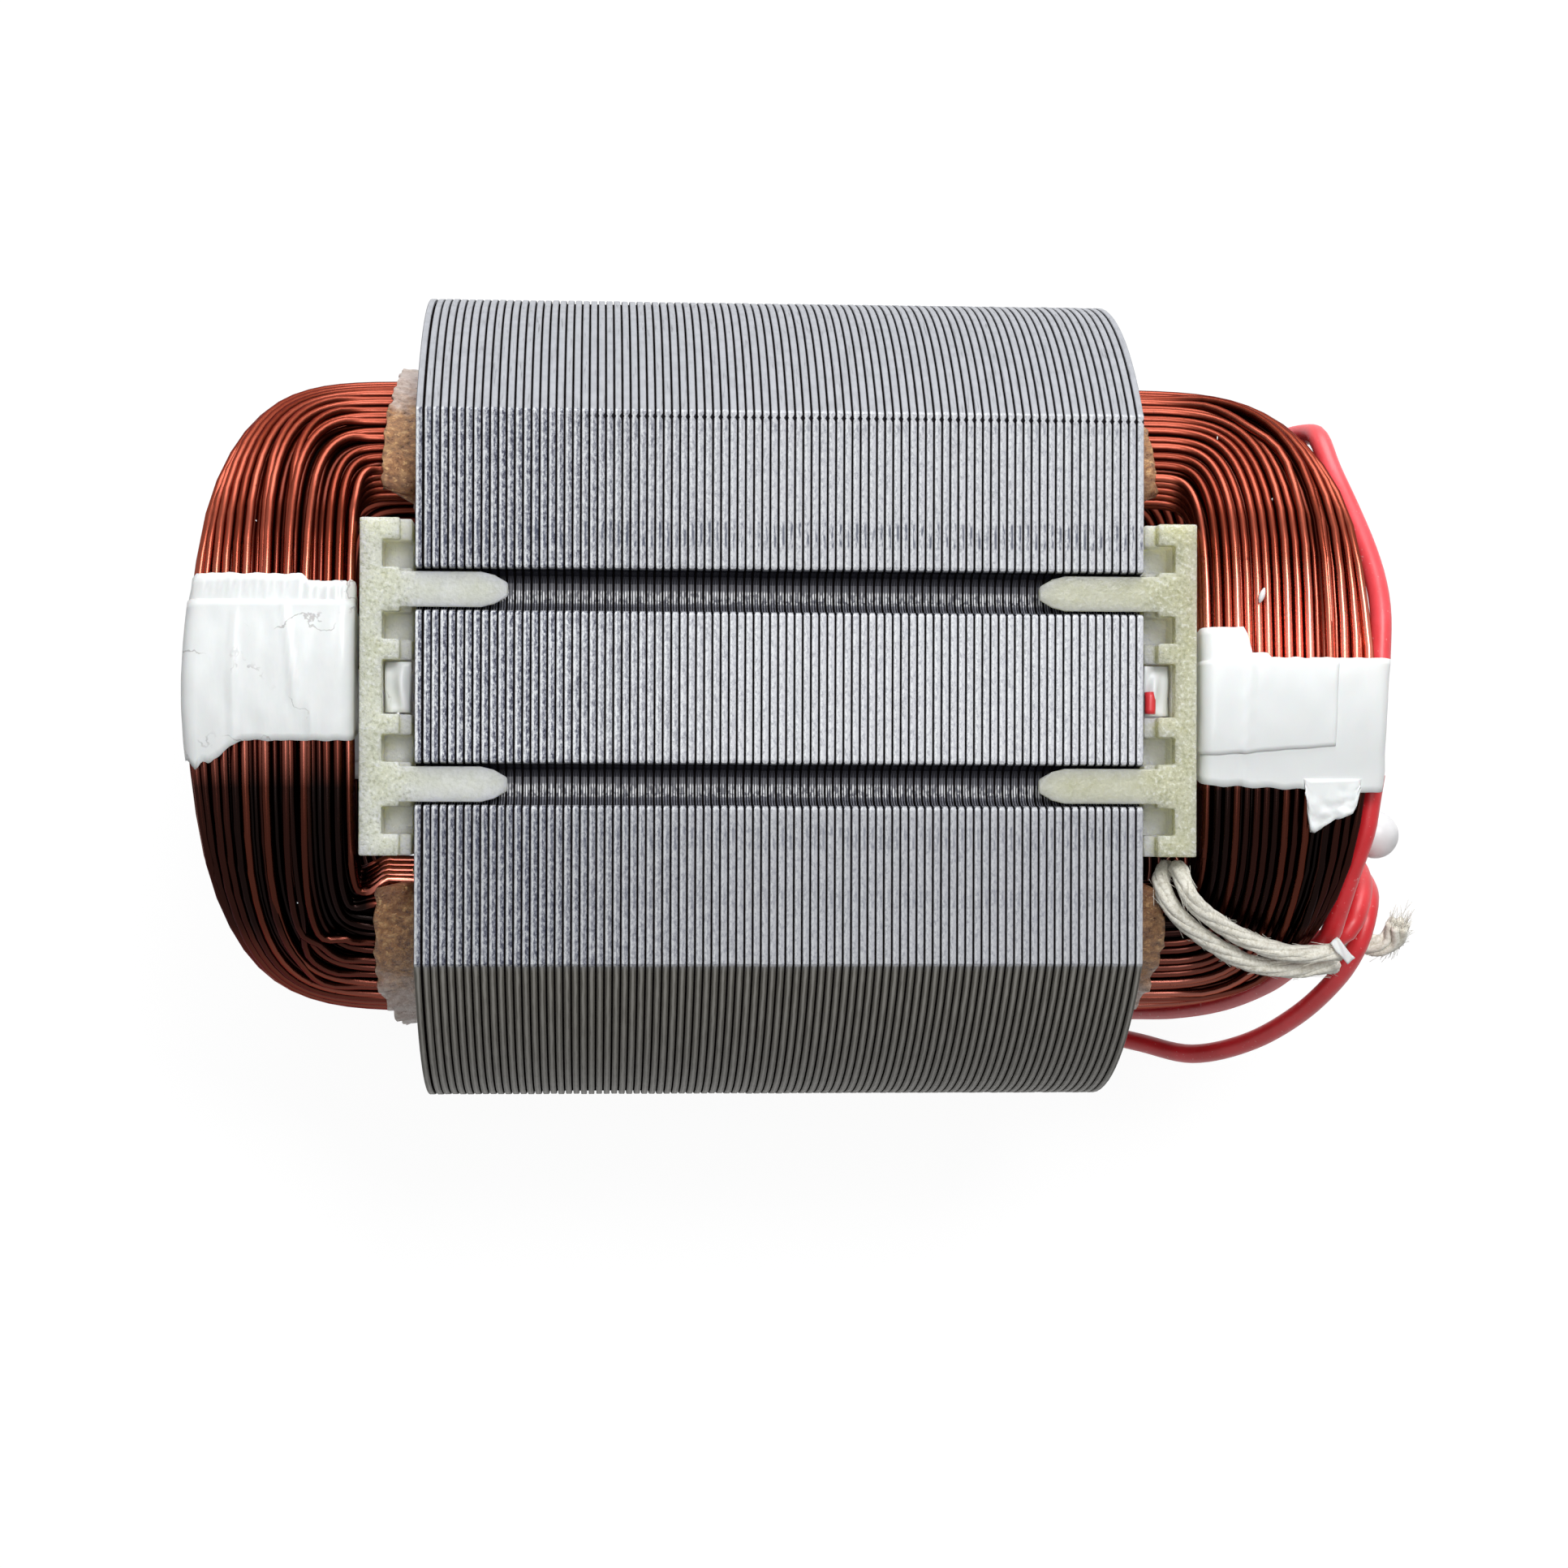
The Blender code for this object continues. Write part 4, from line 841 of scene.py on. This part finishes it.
def wire_line(across, depth, curves, crossing=None):
    """The middle line of one wire round its coil, and the radial direction along it.

    A crossing is an end, two angles between which the wire moves over, and how far.
    """
    line = []
    ups = []
    for end, theta in turn_angles():
        turned = theta if end > 0 else theta + 2.1
        here = across + sum(curve(turned, across) for curve in curves) * math.cos(theta)
        fill = 0
        if end > 0:
            here += OUTER_SPREAD * ease(0.75, 0.95, across)
        else:
            fill = CORNER_FILL * ease(0.2, 0, across) * ease(-0.8, -1.4, theta)
        high = depth
        if crossing and crossing[0] == end:
            start, stop, move = crossing[1:]
            here += move * (ease(start, stop, theta) - ease(stop, math.pi / 2, theta))
            high += CROSSING_LIFT * ease(0.3, 0.48, abs(theta)) * ease(1.45, 1.15, abs(theta))
        here = min(OUTER_LIMIT[end], max(0, here)) - fill
        point, angle = winding_point(end, theta, here, high)
        line.append(point)
        ups.append((0, math.sin(angle), math.cos(angle)))
    return line, ups


def coil_skin(seed):
    """A bundle of wires round one pole: loose outer wires, some of which cross, over inner ones painted
    darker as shade.
    """
    draw = random.Random(seed)
    skin = Skin()
    common = sway(draw, 0.012)
    for depth_in, count, sides, size, dull, bright in WIRE_LAYERS:
        width = BUNDLE_WIDTH - 2 * depth_in
        height = BUNDLE_HEIGHT - 2 * depth_in
        corner = max(0.3 * MM, BUNDLE_CORNER - depth_in)
        for point in rounded_rectangle(width, height, corner, count):
            across = point.x / BUNDLE_WIDTH + 0.5
            depth = point.y / BUNDLE_HEIGHT + 0.5
            crossing = None
            if depth > 0.8:
                depth -= draw.choice((0, 0, 0.01, 0.03, 0.05))
            if depth_in < WIRE_DIAMETER and depth > 0.8 and draw.random() < CROSSING_SHARE:
                start = draw.choice((-1.15, -0.9, 0.3, 0.5, 0.7))
                end, stop = draw.choice((-1, 1)), start + draw.uniform(0.3, 0.5)
                crossing = (end, start, stop, draw.choice((-1, 1)) * draw.uniform(0.05, 0.12))
            line, ups = wire_line(across, depth, (common, sway(draw, size)), crossing)
            skin.tube(line, WIRE_DIAMETER / 2, sides, True, draw.uniform(dull, bright), ups)
    return skin


def core_of_coil():
    """The inside of a bundle behind its two layers of wire, to be drawn near black as painted shade."""
    inside = 1.6 * WIRE_DIAMETER
    section = rounded_rectangle(BUNDLE_WIDTH - 2 * inside, BUNDLE_HEIGHT - 2 * inside, 0.5 * MM, 16)
    places = [(p.x / BUNDLE_WIDTH + 0.5, p.y / BUNDLE_HEIGHT + 0.5) for p in section]
    rows = [[winding_point(end, theta, *place)[0] for place in places] for end, theta in turn_angles()]
    return rows, flipped(quads(len(rows), len(section), True, True))


def build_coils():
    for name, seed, turn in (("upper_coil", 11, 0), ("lower_coil", 23, math.pi)):
        skin = coil_skin(seed)
        skin.move(upright(turn))
        skin.piece(name + "_wires", COPPER, name)
        # A near-black solid inside each bundle, painted shade behind the wires.
        inside = Skin()
        inside.add(*core_of_coil())
        inside.move(upright(turn))
        inside.piece(name + "_painted_shade", SHADE, slot="copper_wire")


# Plates and liners


def build_plate(node):
    """The CAD node's mesh with its edges rounded and its pockets' floors raised."""
    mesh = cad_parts[node].data.copy()
    bm = bmesh.new()
    bm.from_mesh(mesh)
    for vert in bm.verts:
        if PLATE_FLOOR[0] < abs(vert.co.z - AXIS_PLACE.z) < PLATE_FLOOR[1]:
            vert.co.z += math.copysign(POCKET_FILL, vert.co.z - AXIS_PLACE.z)
    bmesh.ops.remove_doubles(bm, verts=bm.verts, dist=0.001 * MM)
    bmesh.ops.dissolve_limit(bm, angle_limit=math.radians(1), verts=bm.verts, edges=bm.edges)
    sharp = [edge for edge in bm.edges if edge.is_manifold and edge.calc_face_angle() > math.radians(30)]
    bmesh.ops.bevel(
        bm, geom=sharp, offset=PLATE_BEVEL, segments=2, profile=0.5, affect="EDGES", clamp_overlap=True)
    bmesh.ops.triangulate(bm, faces=[face for face in bm.faces if len(face.verts) > 4])
    bm.to_mesh(mesh)
    bm.free()
    mesh.shade_smooth()
    plate = bpy.data.objects.new(node + "_moulding", mesh)
    plate.modifiers.new("normals", "WEIGHTED_NORMAL").keep_sharp = True
    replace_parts(finished(plate, NYLON), node)


def slot_wall(wall_inset):
    """A line at a distance inside one slot quarter, from the horn's tip to the slot's middle."""
    low_radius = HORN_BACK_RADIUS + wall_inset
    high_radius = SLOT_RADIUS - wall_inset
    neck = POLE_HALF_WIDTH + wall_inset
    roof = SLOT_ROOF_HEIGHT - wall_inset
    degree = math.radians(1)
    line = arc(low_radius, HORN_TIP_ANGLE - 2 * degree, math.asin(neck / low_radius), 2.5 * degree)
    for share in (0.35, 0.7):
        line.append(tuple(Vector(line[-1]).lerp(Vector((neck, roof)), share)))
    start = math.sqrt(high_radius ** 2 - roof ** 2)
    line += [(neck, roof)]
    line += [(y * MM, roof) for y in (14.9, 15.3, 15.6, 15.75, 16.2, 16.9) if neck < y * MM < start]
    return line + arc(high_radius, math.acos(roof / high_radius), 87 * degree, 1.6 * degree)


def build_liner(name, seed, rotation, left_reaches, right_reaches):
    """A folded paper liner whose torn ends stand out of the core and bulge over the wires."""
    wall = slot_wall(LINER_WALL_INSET)
    reaches = {-1: left_reaches, 1: right_reaches}
    rotation = Euler(rotation).to_matrix().to_4x4()
    rows = []
    outs = shares(CUFF_STEPS)
    for end, out in [(-1, 1 - out) for out in outs] + [(1, out) for out in outs]:
        row = []
        for j, (across, up) in enumerate(wall):
            cover = ease(15.5 * MM, 15.72 * MM, across)
            torn = wave(j * 0.55, seed * 3.1, end * 5) * 0.3
            torn += wave(j * 1.9, seed * 7.7, end * 9) * 0.22
            reach = float(np.interp(across, CUFF_PLACES, reaches[end * round(rotation[0][0])])) + torn
            reach = mix(0.35, reach, cover) * MM
            flare = 1 + 0.01 * out * cover * (1 + 1.5 * wave(j * 0.4, seed, out))
            bulge = math.sqrt(max(0, CUFF_RADIUS ** 2 - across ** 2)) - up
            up = up + max(0, bulge) * ease(0, 0.3, out) * cover
            ripple = 0.1 * MM * wave(j * 0.8, out * 2 + end * 11, seed) * out
            away = Vector((across, up)).normalized() * ripple
            row.append((end * (HALF_LENGTH + reach * out), across * flare + away.x, up * flare + away.y))
        rows.append(row)
    skin = Skin()
    skin.add(rows, quads(len(rows), len(wall)))
    skin.move(Matrix.Translation(AXIS_PLACE) @ rotation)
    thick = skin.piece(name + "_paper", PAPER, name).modifiers.new("thickness", "SOLIDIFY")
    thick.thickness = LINER_THICKNESS
    thick.offset = 0


# Tape pieces


def turn_section(end, angle, growth):
    """Even points of a loop round the end turn at an angle, outside the wires: place along X and radius."""
    def overhang_at(across):
        half_angle = mix(INNER_ANGLE, OUTER_ANGLE, across)
        power = mix(INNER_POWER, OUTER_POWER[end], across)
        overhang = mix(INNER_OVERHANG, OUTER_OVERHANG[end], across)
        return HALF_LENGTH + overhang * (1 - (abs(angle) / half_angle) ** power) ** (1 / power)

    rise = ease(TURN_RISE_ANGLE, TURN_FLAT_ANGLE, abs(angle))
    inner = overhang_at(0) - growth - 0.12 * MM
    swell = TAPE_LEAD_SWELL * (ease(0.02, 0.1, angle) + ease(-0.16, -0.27, angle)) if end > 0 else 0
    outer = overhang_at(1) + growth + TAPE_LEAD_ROOM[end] + swell
    low = mix(SLOT_LOW_RADIUS, TURN_LOW_RADIUS, rise) - growth
    high = mix(SLOT_HIGH_RADIUS, TURN_HIGH_RADIUS, rise) + growth
    middle = Vector(((inner + outer) / 2, (low + high) / 2))
    loop = rounded_rectangle(outer - inner, high - low, BUNDLE_CORNER + growth, TAPE_COLUMNS)
    return [tuple(middle + point) for point in loop]


def turn_top(x, y, lift):
    """A point at a height above the upper face of an end turn. Its angle follows from y in a few steps."""
    radius = TURN_HIGH_RADIUS
    for _ in range(3):
        angle = math.asin(y / radius)
        rise = ease(TURN_RISE_ANGLE, TURN_FLAT_ANGLE, abs(angle))
        radius = mix(SLOT_HIGH_RADIUS, TURN_HIGH_RADIUS, rise) + lift
    return (x, radius * math.sin(angle), radius * math.cos(angle))


def add_wrap(skin, end, growth, low_edge, high_edge, relief, first=0, last=TAPE_COLUMNS):
    """A layer of tape between two edges, each a function of x and of whether it is on top, in millimetres.

    The loop starts at the outer upper corner and runs over the top first. relief lifts the film above that.
    """
    sections = np.array([turn_section(end, angle, growth) for angle in TAPE_ANGLES])
    ring = last - first == TAPE_COLUMNS
    grid = np.zeros((TAPE_ROWS + 1, last - first, 3))
    for j in range(first, last):
        x, radius = sections[10, j]
        top = radius > TURN_HIGH_RADIUS
        for i, share in enumerate(shares(TAPE_ROWS)):
            y = mix(low_edge(x / MM, top), high_edge(x / MM, top), share)
            angle = y * MM / (TURN_HIGH_RADIUS + growth)
            here = [float(np.interp(angle, TAPE_ANGLES, sections[:, j, k])) for k in (0, 1)]
            grid[i, j - first] = (end * here[0], *polar(here[1], angle))
    lifts = [[relief(abs(x) / MM, y / MM) * (z > 0.9 * TURN_HIGH_RADIUS) for x, y, z in row] for row in grid]
    grid += grid_normals(grid, ring) * np.array(lifts)[..., None] * MM
    skin.sheet(grid, TAPE_THICKNESS, ring)


def ridge(distance, width):
    """A soft ridge: 1 at its middle and 0 from width on."""
    return ease(width, 0, abs(distance))


def build_left_tape(name, turn, seed):
    """A pleated layer, and over it a smooth one that stops short of its upper edge."""
    def high(x, top):
        step = 0.55 * ease(37.6, 37.9, x) if top else 0.3
        return 8.4 + step + 0.12 * wave(x * 0.9, 0, seed)

    def low(x, top):
        flap = 2 * ease(42.2, 46, x) if top or x > 46 else 0
        return -4.3 - flap * (1 + 0.3 * wave(x * 1.5, 3, seed)) + 0.12 * wave(x * 1.1, 5, seed)

    def pleats(x, y):
        share = ease(39, 37.5, x) * ease(5.8, 7.2, y)
        fine = 0.04 * math.sin(x * 9 + math.sin(y * 1.3)) * ease(6, 7.5, y)
        return share * 0.16 * max(0, math.sin(x * 8.5 + 0.5 * y)) + fine + 0.05 * wave(x, y * 0.3, seed)

    def creases(x, y):
        long = 0.1 * ridge(x - 43.1 - 0.25 * wave(y, 1, seed), 0.35) * ease(7, 5.5, y)
        short = 0.12 * ridge(x - 38.4 - 0.12 * y - 0.3 * wave(y, 9, seed), 0.4) * ease(-2.5, 0, y)
        curl = 0.1 * ridge(x - 37 + 0.5 * wave(y, 4, seed), 0.5) * ease(-0.5, -2.5, y)
        return long + short + curl + 0.06 * wave(x * 0.8, y * 0.4, seed + 2)

    skin = Skin()
    add_wrap(skin, -1, TAPE_GROWTH, low, high, pleats)
    add_wrap(skin, -1, SECOND_GROWTH, low, lambda x, top: high(44, True) - 2.1, creases)
    skin.move(upright(turn))
    skin.piece(name + "_wrap", TAPE, name)


def build_right_tape(name, turn, seed):
    """A layer with a torn step in its upper edge, a shorter layer over it, and a torn flap below."""
    def high(x, top):
        step = 0
        if top or x < 35:
            step = 2.05 * ease(37.65, 37.35, x) + 0.4 * ease(39.2, 38.9, x)
        return 2.75 + step + 0.1 * wave(x * 1.2, 0, seed)

    def low(x, top):
        return -7.55 - 0.04 * (x - 33) + 0.12 * wave(x * 0.8, 5, seed)

    def creases(x, y):
        soft = 0.1 * ridge(x - 37.6 - 0.03 * y - 0.35 * wave(y, 1, seed), 0.45)
        return soft + 0.05 * wave(x * 0.7, y * 0.4, seed)

    def short_high(x, top):
        return high(44, True) - 0.3

    def short_low(x, top):
        return (-5.3 + 0.08 * (x - 33) if top else -5.3) + 0.1 * wave(x * 0.6, 8, seed)

    def flap(down, share):
        edge = float(np.interp(share, *zip(*FLAP_EDGE)))
        y = mix(-7, edge, down) + 0.25 * wave(share * 11.2, 2, seed) * down
        x = mix(42.2, 46.9, share) + 0.3 * down * (0.5 - share)
        lift = 0.28 + 0.4 * wave(x * 1.7, y * 1.7, seed) + 0.16 * wave(x * 5, y * 5, seed)
        return turn_top(x * MM, y * MM, TAPE_GAP + (0.1 + down * lift) * MM)

    skin = Skin()
    add_wrap(skin, 1, TAPE_GROWTH, low, high, creases)
    add_wrap(skin, 1, SECOND_GROWTH, short_low, short_high, creases, 16, 78)
    skin.sheet(grid_of(12, 16, flap), TAPE_THICKNESS)
    skin.move(upright(turn))
    skin.piece(name + "_wrap", TAPE, name)


# Leads, lacing and small parts


def build_leads():
    for name, route in LEAD_ROUTES.items():
        points = smooth_route(route, AXIS_PLACE, 1 * MM)
        curve = bpy.data.curves.new(name + "_insulation", "CURVE")
        curve.dimensions = "3D"
        curve.bevel_depth = LEAD_DIAMETER / 2
        curve.bevel_resolution = 5
        curve.use_fill_caps = True
        add_spline(curve, points)
        lead = finished(bpy.data.objects.new(name + "_insulation", curve), INSULATION)
        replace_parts(lead, name)
        tips = [build_strands(name + "_end", points)] if name != "jumper_lead" else []


def build_strands(node, points):
    """The bare twisted strands that stand out of a lead's end: six round a seventh."""
    low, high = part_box(node)
    direction = (points[-1] - points[-2]).normalized()
    side = direction.cross(Vector((0, 0, 1))).normalized()
    lift = side.cross(direction)
    start = points[-1] - direction * 0.4 * MM
    skin = Skin()
    for strand in range(7):
        line = []
        for share in shares(14):
            angle = 2 * math.pi * (strand / 6 + share * 1.1)
            offset = 0 if strand == 6 else 0.3 * MM
            line.append(start + direction * share * (high.x - low.x + 0.5 * MM)
                        + side * offset * math.cos(angle) + lift * offset * math.sin(angle))
        skin.tube(line, 0.145 * MM, 6)
    return skin.piece(node + "_strands", TIN, node)


def build_lacing():
    """Cotton cords laid up from plies, with loose fibres, and a tail that opens at its end."""
    for name, route in LACING_ROUTES.items():
        draw = random.Random(name)
        points = smooth_route(route, END_PLACE, LACING_SPACING)
        tangent = unit(np.gradient(np.array([tuple(p) for p in points]), axis=0))
        ups = np.array(turned_frames(tangent))
        sides = np.cross(tangent, ups)
        skin = Skin()
        last = len(points) - 1
        tail = name == "lacing_tail"
        for ply in range(PLY_COUNT):
            line = []
            radii = []
            for i, point in enumerate(points):
                angle = 2 * math.pi * (ply / PLY_COUNT + i * LACING_SPACING / PLY_PITCH)
                fray = 1 + (0.9 * ease(0.6, 1, i / last) if tail else 0)
                offset = PLY_OFFSET * fray * (1 + 0.15 * wave(i * 0.12, ply * 3, 5))
                away = sides[i] * math.cos(angle) + ups[i] * math.sin(angle)
                line.append(np.array(point) + offset * away)
                radii.append(PLY_RADIUS * (1 + 0.15 * wave(i * 0.3, ply * 7, 0)))
            skin.tube(line, radii, 8, tone=draw.random())
        for fibre in range(300 if tail else 110):
            i = draw.randrange(2, last)
            if tail and fibre < 230:
                i = last - draw.randrange(9)
            skin.tube(*fibre_line(draw, points[i], tangent[i], ups[i], sides[i]), 3, tone=draw.random())
        skin.piece(name + "_cord", COTTON, name)


def fibre_line(draw, start, along, up, side):
    """A short loose fibre on the cord's skin: its bent line and its radius."""
    angle = draw.uniform(0, 2 * math.pi)
    turn = draw.uniform(-0.8, 0.8)
    length = draw.uniform(0.6, 2.2) * MM * draw.choice((-1, 1))
    rise = draw.uniform(0, 0.35) * MM
    line = []
    for share in shares(4):
        away = up * math.sin(angle + turn * share) + side * math.cos(angle + turn * share)
        reach = PLY_OFFSET + 0.8 * PLY_RADIUS + rise * share ** 1.5
        line.append(np.array(start) + away * reach + along * length * share)
    return line, 0.02 * MM


def build_tie():
    """A small folded strip over the lacing's knot."""
    low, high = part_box("lacing_tie")
    along = Vector((0.644, -0.765, 0))
    beside = Vector((0.765, 0.644, 0))

    def place(share, wide):
        lift = 0.16 * math.sin(share * math.pi) + 0.08 * math.sin(share * 7 + wide * 6)
        local = along * mix(-1.15, 1.15, share) + beside * mix(-0.38, 0.38, wide) + Vector((0, 0, lift))
        return (low + high) / 2 + local * MM

    skin = Skin()
    skin.sheet(grid_of(12, 6, place), 0.2 * MM)
    skin.piece("lacing_tie_strip", TAPE, "lacing_tie")


def build_specks():
    """A dab of paint and a few bits of lint on the windings, in millimetres from the middle of the bore."""
    draw = random.Random(9)
    skin = Skin()
    dab = [AXIS_PLACE + Vector((38.55 + 0.1 * step, 7.15 + 0.3 * step, 25.25)) * MM for step in range(5)]
    skin.tube(dab, np.array((0.08, 0.22, 0.26, 0.2, 0.06)) * MM, 8)
    for x, y in SPECK_PLACES:
        start = AXIS_PLACE + Vector((x, y, math.sqrt((27.1 if abs(y) > 15 else 26.1) ** 2 - y ** 2))) * MM
        turn = draw.uniform(0, 2 * math.pi)
        length = draw.uniform(0.3, 0.9) * MM
        skin.tube([
            start + Vector((math.cos(turn + bend), math.sin(turn + bend), 0.1)) * length * bend
            for bend in (0, 0.35, 0.7, 1)], 0.05 * MM, 5)
    skin.piece("winding_specks", TAPE)


def build_openings():
    """What the plates' openings show: a fold of tape on each side, and on the right one a bit of a lead."""
    for end, side in ((-1, "left"), (1, "right")):
        def place(along, wide):
            out = mix(0.35, 2.45, along)
            y = mix(-2, 2, wide)
            z = 0.35 * math.sin(out * 1.6) + 0.5 * wave(out * 1.3, y * 0.5, end * 4)
            return AXIS_PLACE + Vector((end * (HALF_LENGTH / MM + out), y, OPENING_HEIGHT + z)) * MM

        skin = Skin()
        skin.sheet(grid_of(10, 10, place), TAPE_THICKNESS)
        skin.piece("opening_fold_" + side, TAPE)
    middle = END_PLACE + Vector((0.85, -0.95, OPENING_HEIGHT + 0.35)) * MM
    skin = Skin()
    ends = [middle + Vector((0, reach, -0.1 * abs(reach))) * MM for reach in (-0.85, -0.5, 0, 0.5, 0.85)]
    skin.tube(ends, 0.45 * MM, 16)
    skin.piece("opening_lead", INSULATION)


def build_splice_cap():
    """A capsule, slightly wrinkled."""
    low = END_PLACE + CAP_LOW
    high = END_PLACE + CAP_HIGH
    axis = (high - low).normalized()
    turns = [math.radians(mix(3, 90, share)) for share in shares(8)]
    points = [low - axis * CAP_RADIUS * math.cos(turn) for turn in turns]
    points += [low.lerp(high, step / 12) for step in range(1, 12)]
    points += [high + axis * CAP_RADIUS * math.cos(turn) for turn in reversed(turns)]
    dome = [CAP_RADIUS * math.sin(turn) for turn in turns]
    wall = [CAP_RADIUS * (1 + 0.02 * wave(step * 0.7, 0, 3)) for step in range(1, 12)]
    skin = Skin()
    skin.tube(points, dome + wall + dome[::-1], 40)
    skin.piece("splice_cap_sleeve", SLEEVE, "splice_cap")


# Stage, lights and camera


def grey(value):
    return (value, value, value, 1)


def empty_tree(owner):
    owner.use_nodes = True
    owner.node_tree.nodes.clear()
    return Nodes(owner.node_tree)


def build_stage():
    bpy.ops.mesh.primitive_plane_add(size=12, location=(0, 0, -0.0002))
    floor = bpy.context.object
    floor.name = "floor"
    material = bpy.data.materials.new("floor")
    tree = empty_tree(material)
    pale = tree.node("BsdfDiffuse", {"Color": grey(0.11)})
    glow = tree.node("Emission", {"Strength": 0.93})
    white = tree.node("AddShader", {0: pale.outputs[0], 1: glow.outputs[0]})
    dim = tree.node("BsdfDiffuse", {"Color": grey(0.3)})
    choose = tree.node("MixShader", {0: tree.seen(), 1: dim.outputs[0], 2: white.outputs[0]})
    tree.node("OutputMaterial", {0: choose.outputs[0]})
    floor.data.materials.append(material)


def build_world():
    world = bpy.data.worlds.new("studio")
    bpy.context.scene.world = world
    tree = empty_tree(world)
    sky = tree.node("Background", {"Color": grey(0.8), "Strength": tree.seen() * 0.78 + 0.22})
    tree.node("OutputWorld", {0: sky.outputs[0]})


def add_lamp(name, place, size, power):
    """A soft box that faces the part."""
    data = bpy.data.lights.new(name, "AREA")
    data.shape = "RECTANGLE"
    data.size, data.size_y = size
    data.energy = power
    lamp = bpy.data.objects.new(name, data)
    lamp.location = AXIS_PLACE + Vector(place)
    lamp.rotation_euler = (-Vector(place)).to_track_quat("-Z", "Y").to_euler()
    bpy.context.scene.collection.objects.link(lamp)


def build_camera():
    data = bpy.data.cameras.new("camera")
    data.lens = CAMERA_LENS
    data.clip_start = 0.01
    camera = bpy.data.objects.new("camera", data)
    camera.location = AXIS_PLACE + CAMERA_PLACE * MM
    camera.rotation_euler = [math.radians(turn) for turn in CAMERA_TURN]
    bpy.context.scene.collection.objects.link(camera)
    bpy.context.scene.camera = camera


# The scene


build_camera()
build_leads()
build_core()
build_coils()
for place in ("upper_left", "upper_right", "lower_left", "lower_right"):
    build_plate("end_plate_" + place)
for seed, (place, *form) in enumerate(LINERS, 1):
    build_liner("slot_liner_" + place, seed, *form)
for level, turn in (("upper", 0), ("lower", math.pi)):
    build_left_tape(f"coil_tape_{level}_left", turn, 1 + turn)
    build_right_tape(f"coil_tape_{level}_right", turn, 3 + turn)
build_lacing()
build_tie()
build_specks()
build_openings()
build_splice_cap()

build_stage()
build_world()
for lamp in LAMPS:
    add_lamp(*lamp)
bpy.context.scene.view_settings.view_transform = "Standard"
